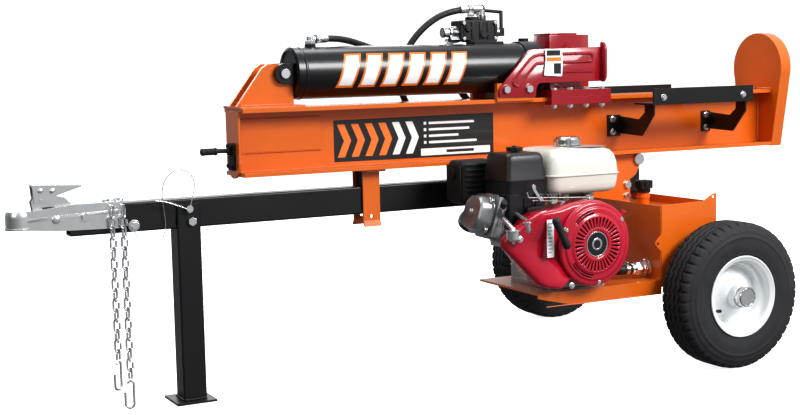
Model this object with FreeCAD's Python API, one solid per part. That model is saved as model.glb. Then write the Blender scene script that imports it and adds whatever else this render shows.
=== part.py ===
"""Towable log splitter: tank axle, engine and pump on the near side, hydraulic ram on a tilting beam.

Working axes while it is built: +X along the drawbar from the coupler towards the foot plate, the
near side (engine, stand pin) is -Y, +Z is up, x = 0 is the wheel axis and z = 0 is the ground.
Each shape is moved along X as it is written, so that the origin is the middle of the footprint.
"""
import FreeCAD
import Part
import math
import os

V = FreeCAD.Vector

# ---- driving dimensions, mm ----
NOSE_X = -1886.0            # front of the coupler
FOOT_END_X = 540.0          # back of the foot plate
ORIGIN_X = (NOSE_X + FOOT_END_X) / 2

TYRE_R = 205.0
TYRE_W = 118.0
WHEEL_Y = 452.0
RIM_R = 114.0
BEAD_R = 101.0
HUB_R = 32.0
BEARING_R = 26.0
SPINDLE_R = 12.7
AXLE_SQ = 32.0
FIT = 0.06                  # radial clearance of a turning fit
GAP = 0.5                   # clearance between pieces that move past each other

TANK = (-177.0, 15.0, 374.0, 230.0, 435.0)   # front x, back x, half width, bottom z, top sheet z
TANK_WALL = 3.0
RIM_Z = 457.0               # upstand round the recessed tank top

TONGUE_W = 50.8
TONGUE_Z = (457.0, 533.0)
TONGUE_X = (-1731.0, 12.0)
TONGUE_WALL = 4.8

PIVOT_Z = 560.0             # the tilt pin is at x = 0
PIN_R = 12.5

BEAM_X = (-1284.0, 500.0)
BEAM_Z = (580.0, 758.0)
FLANGE_HALF = 69.0
FLANGE_T = 11.0
WEB_HALF = 5.0

CYL_Z = 846.0
CYL_R = 70.0
BORE_R = 63.5
ROD_R = 25.4
CLEVIS_X = -1154.0
BARREL_X = (-1100.0, -410.0)
GLAND_END_X = -352.0
STROKE = 610.0

WEDGE_X = (-322.0, -155.0)
WEDGE_TOP = 943.0
SLIDE_X = (-349.0, -141.0)
SLIDE_HALF = 92.0
SLIDE_Z = (758.5, 779.0)

STRIP_Y = (77.0, 83.0)
FOOT_X = (500.0, FOOT_END_X)
FOOT_R = 110.0
FOOT_TOP = 935.0

STAND_X = -1427.0
STAND_SQ = 63.5
STAND_PIVOT = (-1420.0, 474.0)
STAND_PIN = (-1428.0, 507.0)
STAND_FOLD = 80.0           # degrees from upright to folded

CRANK = (-436.0, 378.0)     # x, z of the crankshaft, which lies along Y
PLATFORM_Z = 250.0
SHROUD_Y = (-415.0, -345.0)
RECOIL_Y = -432.0


# ---- small helpers ----
def box(x0, x1, y0, y1, z0, z1):
    return Part.makeBox(x1 - x0, y1 - y0, z1 - z0, V(x0, y0, z0))


def rod(r, a, b):
    a = V(*a)
    b = V(*b)
    return Part.makeCylinder(r, (b - a).Length, a, b - a)


def cone(r0, r1, a, b):
    a = V(*a)
    b = V(*b)
    return Part.makeCone(r0, r1, (b - a).Length, a, b - a)


def ring(r_out, r_in, a, b):
    return rod(r_out, a, b).cut(rod(r_in, a, b))


def prism(points, along, low, high):
    """Extrude an outline. Points are (x, z) along Y, (y, z) along X or (x, y) along Z."""
    place = {"y": lambda p: V(p[0], low, p[1]),
             "x": lambda p: V(low, p[0], p[1]),
             "z": lambda p: V(p[0], p[1], low)}[along]
    step = {"y": V(0, high - low, 0), "x": V(high - low, 0, 0), "z": V(0, 0, high - low)}[along]
    corners = [place(p) for p in points]
    return Part.Face(Part.makePolygon(corners + corners[:1])).extrude(step)


def join(first, *others):
    return first.multiFuse(list(others)).removeSplitter()


def cut(shape, *tools):
    for tool in tools:
        shape = shape.cut(tool)
    return shape


def group(*solids):
    return Part.makeCompound(list(solids))


def mirrored(shape):
    return shape.mirror(V(0, 0, 0), V(0, 1, 0))


def pair(shape):
    return group(shape, mirrored(shape))


def upright_rounded(x0, x1, y0, y1, z0, z1, r):
    """A box with its four upright edges rounded."""
    body = box(x0, x1, y0, y1, z0, z1)
    upright = [e for e in body.Edges if abs(e.tangentAt(e.FirstParameter).z) > 0.9]
    return body.makeFillet(r, upright)


def all_rounded(x0, x1, y0, y1, z0, z1, r):
    body = box(x0, x1, y0, y1, z0, z1)
    return body.makeFillet(r, body.Edges)


def hexagon(across, a, b):
    """A hexagonal prism from a to b, for nuts and bolt heads."""
    a = V(*a)
    b = V(*b)
    along = (b - a).normalize()
    side = V(0, 0, 1) if abs(along.z) < 0.9 else V(1, 0, 0)
    other = along.cross(side)
    r = across / math.sqrt(3)
    corners = []
    for i in range(6):
        t = math.radians(60 * i)
        corners.append(a + side * (r * math.cos(t)) + other * (r * math.sin(t)))
    return Part.Face(Part.makePolygon(corners + corners[:1])).extrude(V(*b) - a)


def bolt(at, along, grip, size):
    """A hex bolt whose head sits at `at` and whose shank runs `along` to a nut, as one solid."""
    at = V(*at)
    d = V(*along)
    far = at + d * grip
    head = hexagon(size * 1.6, tuple(at - d * (size * 0.65)), tuple(at))
    nut = hexagon(size * 1.6, tuple(far), tuple(far + d * (size * 0.8)))
    shank = rod(size / 2, tuple(at - d * 0.5), tuple(far + d * (size * 1.1)))
    return join(head, nut, shank)


def hole(at, along, length, size):
    """The clearance hole for a bolt of that size, starting a little before `at`."""
    at = V(*at)
    d = V(*along)
    return rod(size / 2 + 0.4, tuple(at - d * 2), tuple(at + d * (length + 2)))


def spin_profile(points, y_sign):
    """Turn an outline of (radius, distance out along Y) about the wheel axis."""
    ring_points = [V(r, y_sign * y, TYRE_R) for r, y in points]
    face = Part.Face(Part.makePolygon(ring_points + ring_points[:1]))
    return face.revolve(V(0, 0, TYRE_R), V(0, 1, 0), 360)


def run_and_arcs(points):
    """A wire of straight runs joined by tangent arcs, and the arcs' radii."""
    pts = [V(*p) for p in points]
    edges = []
    radii = []
    start = pts[0]
    for i in range(1, len(pts) - 1):
        before = pts[i] - pts[i - 1]
        after = pts[i + 1] - pts[i]
        turn = before.getAngle(after)
        back = 0.45 * min(before.Length, after.Length)
        u = V(before).normalize()
        w = V(after).normalize()
        arc_in = pts[i] - u * back
        arc_out = pts[i] + w * back
        radius = back / math.tan(turn / 2)
        to_centre = (w - u).normalize()
        centre = pts[i] + to_centre * (radius / math.cos(turn / 2))
        middle = centre - to_centre * radius
        edges.append(Part.LineSegment(start, arc_in).toShape())
        edges.append(Part.Arc(arc_in, middle, arc_out).toShape())
        radii.append(radius)
        start = arc_out
    edges.append(Part.LineSegment(start, pts[-1]).toShape())
    return Part.Wire(edges), radii


def hose(points, r, name):
    wire, radii = run_and_arcs(points)
    first = V(*points[1]) - V(*points[0])
    section = Part.Wire(Part.makeCircle(r, V(*points[0]), first))
    tube = wire.makePipeShell([section], True, True)
    print("%s: length %.0f mm, smallest bend radius %.0f mm, volume ratio %.4f"
          % (name, wire.Length, min(radii), tube.Volume / (math.pi * r * r * wire.Length)))
    return tube


def link(centre, pitch, width, wire_r, quarter, lean):
    """One chain link hanging along Z: two half rings and two straight sides."""
    half = pitch / 2
    ring_r = width / 2 - wire_r
    straight = half + wire_r - ring_r
    top = Part.makeTorus(ring_r, wire_r, V(0, 0, straight), V(0, 1, 0), -180, 180, 180)
    top = top.common(box(-width, width, -width, width, straight, straight + width))
    low = top.mirror(V(0, 0, 0), V(0, 0, 1))
    sides = [rod(wire_r, (s * ring_r, 0, -straight), (s * ring_r, 0, straight)) for s in (-1, 1)]
    one = join(top, low, *sides)
    one.rotate(V(0, 0, 0), V(0, 0, 1), 45 + 90 * quarter + lean)
    one.translate(V(*centre))
    return one


# ---- drawbar ----
def pin_slot():
    """The curved slot in which the stand's pin moves as the stand folds up behind its pivot bolt."""
    px, pz = STAND_PIVOT
    reach = math.hypot(STAND_PIN[0] - px, STAND_PIN[1] - pz)
    start = math.degrees(math.atan2(STAND_PIN[1] - pz, STAND_PIN[0] - px))
    r = 7.6
    sector = Part.makeCylinder(reach + r, 80, V(0, 0, 0), V(0, 0, 1), STAND_FOLD)
    sector = sector.cut(Part.makeCylinder(reach - r, 80))
    sector.rotate(V(0, 0, 0), V(0, 0, 1), start)
    ends = []
    for a in (start, start + STAND_FOLD):
        t = math.radians(a)
        ends.append(Part.makeCylinder(r, 80, V(reach * math.cos(t), reach * math.sin(t), 0)))
    slot = join(sector, *ends)
    slot.rotate(V(0, 0, 0), V(1, 0, 0), 90)
    slot.translate(V(px, 40, pz))
    return slot


def tongue():
    x0, x1 = TONGUE_X
    z0, z1 = TONGUE_Z
    half = TONGUE_W / 2
    tube = box(x0, x1, -half, half, z0, z1)
    tube = tube.makeFillet(5, [e for e in tube.Edges if abs(e.tangentAt(e.FirstParameter).x) > 0.9])
    w = TONGUE_WALL
    tube = tube.cut(box(x0 - 1, x1 + 1, -half + w, half - w, z0 + w, z1 - w))
    holes = [hole((x, -40, z), (0, 1, 0), 80, d) for x, z, d in TONGUE_HOLES]
    return cut(tube, pin_slot(), *holes)


COUPLER_BOLT = (-1693.0, 504.0, 12.7)
CHAIN_BOLT = (-1572.0, 474.0, 12.7)
CHAIN_XS = (-1631.0, -1602.0)
BRACKET_BOLT = (-42.0, 484.0, 12.7)
TONGUE_HOLES = [COUPLER_BOLT, CHAIN_BOLT, BRACKET_BOLT,
                (STAND_PIVOT[0], STAND_PIVOT[1], 12.7)]
COUPLER_SKIN = 3.2
COUPLER_IN = TONGUE_W / 2 + 0.2
BALL = (-1849.0, 492.0, 25.9)


def coupler():
    side = [(-1851, 482), (-1851, 526), (-1800, 530), (-1720, 538), (-1597, 537), (-1597, 470), (-1760, 474)]
    out = COUPLER_IN + COUPLER_SKIN
    body = prism(side, "y", -out, out)
    nose = rod(33, (-1851, 0, 482), (-1851, 0, 512))
    dome = Part.makeSphere(33, V(-1851, 0, 512)).common(box(-1900, -1800, -40, 40, 500, 527))
    lip = rod(35, (-1851, 0, 482), (-1851, 0, 486))
    shell = join(body, nose, dome, lip)
    channel = box(-1795, -1590, -COUPLER_IN, COUPLER_IN, 460, 533.4)
    socket = Part.makeSphere(BALL[2], V(BALL[0], 0, BALL[1]))
    throat = rod(BALL[2], (BALL[0], 0, 460), (BALL[0], 0, BALL[1]))
    latch_slot = box(-1808, -1794, -9, 9, 460, 545)
    bracket = prism([(-1818, 527), (-1822, 548), (-1812, 562), (-1740, 556), (-1720, 536)], "y", -12, 12)
    bracket = bracket.cut(box(-1830, -1735, -8.8, 8.8, 520, 600))
    shell = join(shell, bracket)
    shell = cut(shell, channel, socket, throat, latch_slot)
    pin = hole((-1799, -20, 552), (0, 1, 0), 40, 7.4)
    x, z, d = COUPLER_BOLT
    return cut(shell, pin, hole((x, -40, z), (0, 1, 0), 80, d))


def coupler_latch():
    """The lever that clamps the ball: a folded channel on a cross rivet, with a hook below it."""
    side = [(-1815, 545), (-1819, 590), (-1697, 584), (-1697, 580), (-1758, 562), (-1775, 545)]
    body = prism(side, "y", -16, 16)
    body = body.cut(box(-1830, -1690, -12.6, 12.6, 520, 586))
    top = prism([(-1819, 586), (-1819, 590), (-1697, 584), (-1697, 580)], "y", -16, 16)
    rivet = rod(3.6, (-1799, -19, 552), (-1799, 19, 552))
    rivet_2 = rod(3.6, (-1771, -19, 572), (-1771, 19, 572))
    tail = box(-1805, -1797, -7, 7, 540, 560)
    return join(body, top, rivet, rivet_2, tail)


def safety_chain_anchor():
    """The cross bolt through the drawbar, with the two end links that lie over the tube."""
    x, z, d = CHAIN_BOLT
    half = TONGUE_W / 2
    through = bolt((x, -half - 6, z), (0, 1, 0), TONGUE_W + 12, d)
    washers = [ring(15, d / 2 + 0.3, (x, s * half, z), (x, s * (half + 5.5), z)) for s in (-1, 1)]
    saddle_link = []
    for i, sx in enumerate(CHAIN_XS):
        one = link((0, 0, 0), 30, 24, 3.2, 0, -45)
        one.rotate(V(0, 0, 0), V(1, 0, 0), 90)
        one.translate(V(sx, -4 + 6 * i, TONGUE_Z[1] + 3.4 + 4.2))
        saddle_link.append(one)
    return group(through, *washers, *saddle_link)


CHAIN_TOP_Z = 512.0
CHAIN_Y = -TONGUE_W / 2 - COUPLER_SKIN - 16.0
CHAIN_PITCH = 26.0


def safety_chain(x, links, lean):
    """A hanging run of welded links with an S hook on its last one."""
    parts = []
    for i in range(links):
        parts.append(link((x, CHAIN_Y, CHAIN_TOP_Z - i * CHAIN_PITCH), CHAIN_PITCH, 22, 3.0, i % 2, 4 * (-1) ** i))
    end_z = CHAIN_TOP_Z - (links - 1) * CHAIN_PITCH - CHAIN_PITCH / 2
    parts.append(s_hook(x, end_z - 2.0, lean))
    return group(*parts)


def s_hook(x, z, lean):
    """A bent wire hook: a closed eye at the top and a long open hook at the foot."""
    r = 3.4
    eye = 7.0
    shank = 52.0
    bend = 11.0
    e = [Part.Arc(V(-eye, 0, -eye), V(0, 0, 0), V(eye, 0, -eye)).toShape(),
         Part.LineSegment(V(eye, 0, -eye), V(eye, 0, -eye - shank)).toShape(),
         Part.Arc(V(eye, 0, -eye - shank), V(eye - bend, 0, -eye - shank - bend),
                  V(eye - 2 * bend, 0, -eye - shank)).toShape(),
         Part.LineSegment(V(eye - 2 * bend, 0, -eye - shank), V(eye - 2 * bend, 0, -eye - 22)).toShape()]
    section = Part.Wire(Part.makeCircle(r, V(-eye, 0, -eye), V(0, 0, 1)))
    hook = Part.Wire(e).makePipeShell([section], True, True)
    hook.rotate(V(0, 0, 0), V(0, 0, 1), lean)
    hook.translate(V(x, CHAIN_Y, z))
    return hook


# ---- stand ----
def stand_leg():
    half = STAND_SQ / 2
    x0 = STAND_X - half
    x1 = STAND_X + half
    top = 519.0
    post = upright_rounded(x0, x1, -half, half, 6, top, 5)
    w = 4.8
    post = post.cut(box(x0 + w, x1 + 1, -half + w, half - w, 5, top + 1))
    inner = TONGUE_W / 2 + GAP
    notch = box(x0 - 1, x1 + 1, -inner, inner, TONGUE_Z[0] - 1.2, top + 1)
    foot = box(STAND_X - 57, STAND_X + 50, -57, 57, 0, 6)
    leg = join(post.cut(notch), foot)
    x, z = STAND_PIVOT
    px, pz = STAND_PIN
    swing = rod(SPINDLE_R / 2 + FIT, (x, -40, z), (x, 40, z))
    return cut(leg, swing, hole((px, -40, pz), (0, 1, 0), 80, 14.0))


def stand_pin():
    """A removable hitch pin with a wire keeper through its end, carried by the stand."""
    x, z = STAND_PIN
    shank = rod(6.3, (x, -42, z), (x, 44, z))
    head = rod(9.5, (x, -45, z), (x, -39, z))
    keeper, _ = run_and_arcs([(x - 2, -47, z - 6), (x - 14, -48, z + 4), (x - 60, -52, z + 22), (x - 92, -50, z + 28)])
    section = Part.Wire(Part.makeCircle(1.6, V(x - 2, -47, z - 6), V(-12, -1, 10)))
    wire = keeper.makePipeShell([section], True, True)
    return join(shank, head, wire)


LANYARD = [(-1572, -32.4, 461), (-1566, -36, 440), (-1548, -38, 424), (-1522, -36, 420), (-1500, -34, 434),
           (-1490, -33, 462), (-1492, -33, 500), (-1498, -33, 540), (-1494, -34, 575), (-1478, -36, 600),
           (-1452, -38, 612), (-1425, -40, 602), (-1412, -42, 580), (-1414, -44, 556), (-1422, -47, 536),
           (-1427, -48.5, 518)]
LANYARD_R = 1.2


def pin_lanyard():
    return hose(LANYARD, LANYARD_R, "pin_lanyard")


# ---- axle, wheels and tank ----
def axle():
    half = AXLE_SQ / 2
    end = TANK[2] + 2
    bar = box(-half, half, -end, end, TYRE_R - half, TYRE_R + half)
    spindle = rod(SPINDLE_R, (0, -512, TYRE_R), (0, 512, TYRE_R))
    pads = [box(-half, half, y - 30, y + 30, TYRE_R + half, TANK[3]) for y in (-300, -100, 100, 300)]
    nuts = [hexagon(36, (0, s * 501, TYRE_R), (0, s * 513, TYRE_R)) for s in (-1, 1)]
    shoulders = [rod(18, (0, s * end, TYRE_R), (0, s * 418.5, TYRE_R)) for s in (-1, 1)]
    return join(bar, spindle, *pads, *nuts, *shoulders)


def tyre(sign):
    half = TYRE_W / 2
    c = WHEEL_Y
    outer = [(BEAD_R, c - 48), (112, c - 50), (122, c - 55), (150, c - half), (178, c - 57), (192, c - 52),
             (200, c - 44), (TYRE_R, c - 30), (TYRE_R, c + 30), (200, c + 44), (192, c + 52), (178, c + 57),
             (150, c + half), (122, c + 55), (112, c + 50), (BEAD_R, c + 48)]
    inner = [(BEAD_R, c + 38), (120, c + 44), (150, c + 50), (176, c + 47), (190, c + 36), (194, c),
             (190, c - 36), (176, c - 47), (150, c - 50), (120, c - 44), (BEAD_R, c - 38)]
    body = spin_profile(outer + inner, sign)
    grooves = [spin_profile([(198, c + g - 3), (210, c + g - 4), (210, c + g + 4), (198, c + g + 3)], sign)
               for g in (-20, 0, 20)]
    return cut(body, *grooves)


def rim(sign):
    c = WHEEL_Y
    barrel = [(BEAD_R, c - 48.5), (RIM_R - 4, c - 50.5), (RIM_R, c - 54), (RIM_R - 1, c - 58),
              (RIM_R - 8, c - 55), (BEAD_R - 3, c - 52), (BEAD_R - 3, c - 34), (86, c - 24), (86, c + 18),
              (BEAD_R - 3, c + 30), (BEAD_R - 3, c + 52), (RIM_R - 8, c + 55), (RIM_R - 1, c + 58), (RIM_R, c + 54),
              (RIM_R - 4, c + 50.5), (BEAD_R, c + 48.5), (BEAD_R, c + 32), (89, c + 20), (89, c - 26),
              (BEAD_R, c - 36)]
    well = spin_profile(barrel, sign)
    disc = spin_profile([(HUB_R - 4, c + 26), (HUB_R - 4, c + 31), (46, c + 31), (62, c + 12), (86.5, c + 6),
                         (86.5, c + 1), (60, c + 6), (44, c + 26)], sign)
    hub = ring(HUB_R, BEARING_R, (0, sign * 419, TYRE_R), (0, sign * 504, TYRE_R))
    sleeve = ring(BEARING_R + 1, 20, (0, sign * 437, TYRE_R), (0, sign * 483, TYRE_R))
    stem = rod(4.2, (0, sign * (c + 8), TYRE_R - 92), (0, sign * (c + 40), TYRE_R - 80))
    stem.rotate(V(0, 0, TYRE_R), V(0, 1, 0), 62)
    return join(well, disc, hub, sleeve, stem)


def wheel_bearings(sign):
    rings = []
    for y0, y1 in ((420, 436.5), (483.5, 500)):
        rings.append(ring(BEARING_R, SPINDLE_R + FIT, (0, sign * y0, TYRE_R), (0, sign * y1, TYRE_R)))
    return group(*rings)


def hub_cap(sign):
    y0 = 504.0
    y1 = 528.0
    cup = join(rod(29, (0, sign * y0, TYRE_R), (0, sign * (y1 - 4), TYRE_R)),
               cone(29, 25, (0, sign * (y1 - 4), TYRE_R), (0, sign * y1, TYRE_R)))
    return cup.cut(rod(26.5, (0, sign * (y0 - 1), TYRE_R), (0, sign * (y1 - 3), TYRE_R)))


NECK = (-106.0, -200.0)
SUCTION = (-310.0, 278.0)       # y and z of the suction port in the tank's front
FILTER = (-96.0, 312.0)


def tank():
    x0, x1, half, z0, z1 = TANK
    w = TANK_WALL
    body = box(x0, x1, -half, half, z0, z1)
    body = body.cut(box(x0 + w, x1 - w, -half + w, half - w, z0 + w, z1 - w))
    front = box(x0, x0 + w, -half, half, z1 - 1, RIM_Z - 1)
    back = box(x1 - w, x1, -half, half, z1 - 1, RIM_Z)
    plate = [(x0, z0), (x0, 330), (x0 - 12, 340), (x0 - 23, 352), (x0 - 20, 359), (x0, 378), (x0, 459),
             (-30, 461), (2, 478), (17, 482), (17, z0)]
    side = prism(plate, "y", -half, -half + w)
    side = cut(side, hole((6, -half, 471), (0, 1, 0), 4, 8), hole((-190, -half, 352), (0, 1, 0), 4, 8))
    neck = rod(17, (NECK[0], NECK[1], z1 - 1), (NECK[0], NECK[1], 489))
    bead = rod(19.5, (NECK[0], NECK[1], 462), (NECK[0], NECK[1], 469))
    shell = join(body, front, back, side, mirrored(side), neck, bead)
    y, z = SUCTION
    return cut(shell, rod(14, (NECK[0], NECK[1], z1 - 10), (NECK[0], NECK[1], 495)),
               rod(13, (x0 - 5, y, z), (x0 + 8, y, z)),
               rod(12, (FILTER[0], FILTER[1], z1 - 8), (FILTER[0], FILTER[1], z1 + 3)))


def filler_cap():
    x, y = NECK
    lower = rod(20.5, (x, y, 478), (x, y, 492))
    knob = rod(27, (x, y, 491), (x, y, 514))
    for i in range(8):
        t = math.radians(45 * i + 22)
        knob = knob.cut(rod(5, (x + 30 * math.cos(t), y + 30 * math.sin(t), 489),
                            (x + 30 * math.cos(t), y + 30 * math.sin(t), 516)))
    cap = join(lower, knob)
    return cap.cut(rod(17.3, (x, y, 470), (x, y, 489.3)))


SUCTION_ROUTE = [(-236, -310, 278), (-282, -310, 278), (-304, -262, 278), (-306, -190, 282), (-306, -120, 294),
                 (-314, -66, 328), (-332, -22, 364), (-358, -10, 378),
                 (-387.8, -10, 378)]


def suction_hose():
    x0 = TANK[0]
    y, z = SUCTION
    flange = rod(24, (x0, y, z), (x0 - 7, y, z))
    nut = hexagon(40, (x0 - 7, y, z), (x0 - 20, y, z))
    nipple = rod(14, (x0 + 6, y, z), (x0 - 30, y, z))
    nipple = nipple.common(join(rod(12.6, (x0 + 6, y, z), (x0, y, z)), rod(20, (x0, y, z), (x0 - 40, y, z))))
    union = hexagon(34, (x0 - 26, y, z), (x0 - 46, y, z))
    barb = rod(16.5, (x0 - 46, y, z), (x0 - 59, y, z))
    fitting = join(flange, nut, nipple, union, barb)
    return group(fitting, hose(SUCTION_ROUTE, 14.0, "suction_hose"))


def pivot_bracket():
    """Two plates bolted each side of the drawbar, which carry the tilt pin above it."""
    inner = TONGUE_W / 2
    plate = [(-190, 460), (-168, 458), (-150, 436), (-30, 436), (-30, 500), (-8, 514), (8, 546), (13, 551), (16, 560),
             (12.5, 570), (4, 576), (-190, 576)]
    side = prism(plate, "y", -inner - 10, -inner)
    foot = box(-150, -58, -inner - 42, -inner - 10, 436, 442)
    side = join(side, foot)
    side = cut(side, rod(PIN_R + FIT, (0, -60, PIVOT_Z), (0, 0, PIVOT_Z)))
    for x, z in BRACKET_BOLTS:
        side = side.cut(hole((x, -60, z), (0, 1, 0), 60, 12.7))
    return pair(side)


BRACKET_BOLTS = [(-42.0, 484.0), (-42.0, 448.5), (-170.0, 545.0)]


def pivot_pin():
    shaft = rod(PIN_R, (0, -44, PIVOT_Z), (0, 48, PIVOT_Z))
    head = rod(17, (0, -44, PIVOT_Z), (0, -36, PIVOT_Z))
    clip = Part.makeTorus(11, 1.6, V(0, 43, PIVOT_Z), V(0, 1, 0))
    return join(shaft, head, clip)


# ---- engine and pump ----
BASE = (-530.0, -348.0, -340.0, -150.0)
CYL_TILT = math.radians(17)


def engine_platform():
    plate = box(-585, TANK[0], -374, -70, PLATFORM_Z - 6, PLATFORM_Z)
    lip = prism([(-585, PLATFORM_Z), (-585, 236), (-474, 210), (TANK[0], 210), (TANK[0], PLATFORM_Z)],
                "y", -374, -368)
    rib = prism([(-560, PLATFORM_Z - 5), (-474, 214), (TANK[0], 214), (TANK[0], PLATFORM_Z - 5)], "y", -76, -70)
    tray = join(plate, lip, rib)
    for x in (BASE[0] + 14, BASE[1] - 14):
        for y in (BASE[2] + 16, BASE[3] - 16):
            tray = tray.cut(hole((x, y, PLATFORM_Z - 6), (0, 0, 1), 8, 10))
    return tray


def engine_block():
    """Crankcase, mounting base and inclined finned cylinder as one casting."""
    cx, cz = CRANK
    base = box(BASE[0], BASE[1], BASE[2], BASE[3], PLATFORM_Z, PLATFORM_Z + 14)
    case = upright_rounded(-528, -346, -343, -135, PLATFORM_Z + 10, 452, 18)
    u = V(-math.cos(CYL_TILT), 0, math.sin(CYL_TILT))
    c = V(cx, -250, cz + 6)
    barrel = rod(48, tuple(c + u * 60), tuple(c + u * 255))
    fins = [rod(64, tuple(c + u * s), tuple(c + u * (s + 4))) for s in range(112, 200, 11)]
    head = box(-54, 54, -60, 60, 0, 42)
    head.rotate(V(0, 0, 0), V(0, 1, 0), -90 + math.degrees(CYL_TILT))
    head.translate(c + u * 208)
    body = join(base, case, barrel, head, *fins)
    body = cut(body, rod(15.5, (cx, -400, cz), (cx, -100, cz)), rod(62, (cx, -318, cz), (cx, -160, cz)))
    for x in (BASE[0] + 14, BASE[1] - 14):
        for y in (BASE[2] + 16, BASE[3] - 16):
            body = body.cut(hole((x, y, PLATFORM_Z), (0, 0, 1), 400, 10).common(
                box(-600, -300, -400, -100, PLATFORM_Z - 2, PLATFORM_Z + 9)))
    return body


def valve_cover():
    u = V(-math.cos(CYL_TILT), 0, math.sin(CYL_TILT))
    c = V(CRANK[0], -250, CRANK[1] + 6)
    cover = all_rounded(-48, 48, -52, 52, 0, 36, 10)
    cover = cover.cut(all_rounded(-44, 44, -48, 48, -30, 32, 8))
    cover = cover.cut(box(-60, 60, -60, 60, -1, 4))
    flange = box(-52, 52, -58, 58, 0, 5).cut(box(-40, 40, -44, 44, -1, 6))
    cover = join(cover, flange)
    cover.rotate(V(0, 0, 0), V(0, 1, 0), -90 + math.degrees(CYL_TILT))
    cover.translate(c + u * 256)
    return cover


def shroud_outline(grow):
    """Outline of the cooling shroud in X and Z, a circle about the crank with a duct to the cylinder."""
    cx, cz = CRANK
    r = 117.0 + grow
    points = []
    for a in range(-128, 100, 12):
        t = math.radians(a)
        points.append((cx + r * math.cos(t), cz + r * math.sin(t)))
    g = grow
    return points + [(-520, 494 + g), (-600, 482 + g), (-620, 470 + g), (-690 - g, 402 + g), (-690 - g, 382 - g),
                     (-612 - g, 281 - g), (-590, 274 - g)]


def blower_housing():
    y0, y1 = SHROUD_Y
    outer = prism(shroud_outline(0), "y", y0, y1)
    inner = prism(shroud_outline(-2.5), "y", y0 + 2.5, y1 + 1)
    mouth = rod(88, (CRANK[0], y0 - 1, CRANK[1]), (CRANK[0], y0 + 4, CRANK[1]))
    clear = rod(16, (CRANK[0], y0, CRANK[1]), (CRANK[0], y1 + 2, CRANK[1]))
    return cut(outer, inner, mouth, clear)


def recoil_cover():
    cx, cz = CRANK
    y0 = RECOIL_Y
    y1 = SHROUD_Y[0]
    drum = join(rod(112, (cx, y1, cz), (cx, y1 - 8, cz)), cone(108, 94, (cx, y1 - 8, cz), (cx, y0, cz)))
    drum = drum.cut(join(rod(105, (cx, y1 + 1, cz), (cx, y1 - 8, cz)),
                         cone(105, 91, (cx, y1 - 8, cz), (cx, y0 + 2.5, cz))))
    for i in range(36):
        slot = box(44, 72, y0 - 2, y0 + 4, -2.2, 2.2)
        slot.rotate(V(0, 0, 0), V(0, 1, 0), 10 * i)
        slot.translate(V(cx, 0, cz))
        drum = drum.cut(slot)
    return drum


def recoil_handle():
    """The pull grip, resting in front of the cover with its cord end inside."""
    a = (-572, RECOIL_Y - 10, 450)
    b = (-542, RECOIL_Y - 14, 384)
    grip = join(rod(11, a, b), Part.makeSphere(11, V(*a)), Part.makeSphere(11, V(*b)))
    return grip


def crankshaft():
    """Crankshaft with the flywheel fan on its near end and the pump coupling on its far end."""
    cx, cz = CRANK
    shaft = rod(15.0, (cx, -402, cz), (cx, -88, cz))
    wheel = rod(86, (cx, -408, cz), (cx, -352, cz)).cut(rod(70, (cx, -410, cz), (cx, -372, cz)))
    webs = [rod(52, (cx, y, cz), (cx, y + 24, cz)) for y in (-300, -206)]
    throw = rod(17, (cx + 28, -278, cz), (cx + 28, -204, cz))
    coupling = rod(30, (cx, -112, cz), (cx, -80, cz))
    return join(shaft, wheel, coupling, throw, *webs)


def muffler():
    box_part = all_rounded(-702, -585, -184, -96, 478, 598, 16)
    port = rod(13, (-650, -184, 490), (-650, -190, 490))
    outlet = rod(13, (-702, -140, 560), (-712, -140, 560))
    return join(box_part, port, outlet)


AIR_BOX = (-650.0, -522.0, -330.0, -200.0, 432.0, 622.0)


def air_cleaner():
    x0, x1, y0, y1, z0, z1 = AIR_BOX
    lid = upright_rounded(x0, x1, y0, y1, 546, z1, 16)
    lid = lid.makeFillet(12, [e for e in lid.Edges if e.BoundBox.ZMin > z1 - 1])
    tray = upright_rounded(x0 + 3, x1 - 3, y0 + 3, y1 - 3, 512, 546, 14)
    snorkel = upright_rounded(x0 + 6, -562, y0 + 2, y0 + 14, z0, 513, 4)
    stud = rod(4, (-586, -265, z1 - 2), (-586, -265, z1 + 20))
    wing = rod(24, (-586, -265, z1 + 3), (-586, -265, z1 + 16))
    neck = rod(12, (-586, -265, z1 - 1), (-586, -265, z1 + 4))
    return group(join(lid, tray, snorkel), join(stud.cut(box(-600, -570, -280, -250, 600, z1 + 0.01)), wing,
                                                neck.cut(box(-600, -570, -280, -250, 600, z1 + 0.01))))


def carburettor():
    body = box(-578, -534, -184, -140, 457, 500)
    bowl = rod(19, (-556, -162, 431), (-556, -162, 458))
    intake = rod(15, (-556, -204, 482), (-556, -183, 482))
    return join(body, bowl, intake)


FUEL = (-519.0, -292.0, -345.0, -125.0, 503.0, 628.0)
FUEL_CAP = (-393.0, -232.0)


def fuel_tank():
    x0, x1, y0, y1, z0, z1 = FUEL
    upper = box(x0, x1, y0, y1, 556, z1)
    upper = upper.makeFillet(26, [e for e in upper.Edges if e.BoundBox.ZMax > 557])
    lower = box(x0 + 3, x1 - 3, y0 + 3, y1 - 3, z0, 556)
    lower = lower.makeFillet(20, [e for e in lower.Edges if e.BoundBox.ZMin < 555])
    seam = upright_rounded(x0 - 3, x1 + 3, y0 - 3, y1 + 3, 554, 558, 26)
    x, y = FUEL_CAP
    neck = rod(26, (x, y, z1 - 6), (x, y, z1 + 8))
    legs = [box(-490, -470, -300, -280, 452, 508), box(-372, -352, -300, -280, 452, 508),
            box(-490, -470, -180, -160, 452, 508), box(-372, -352, -180, -160, 452, 508)]
    return join(upper, lower, seam, neck, *legs)


THROTTLE = (-560.0, -352.0, 500.0)


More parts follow.
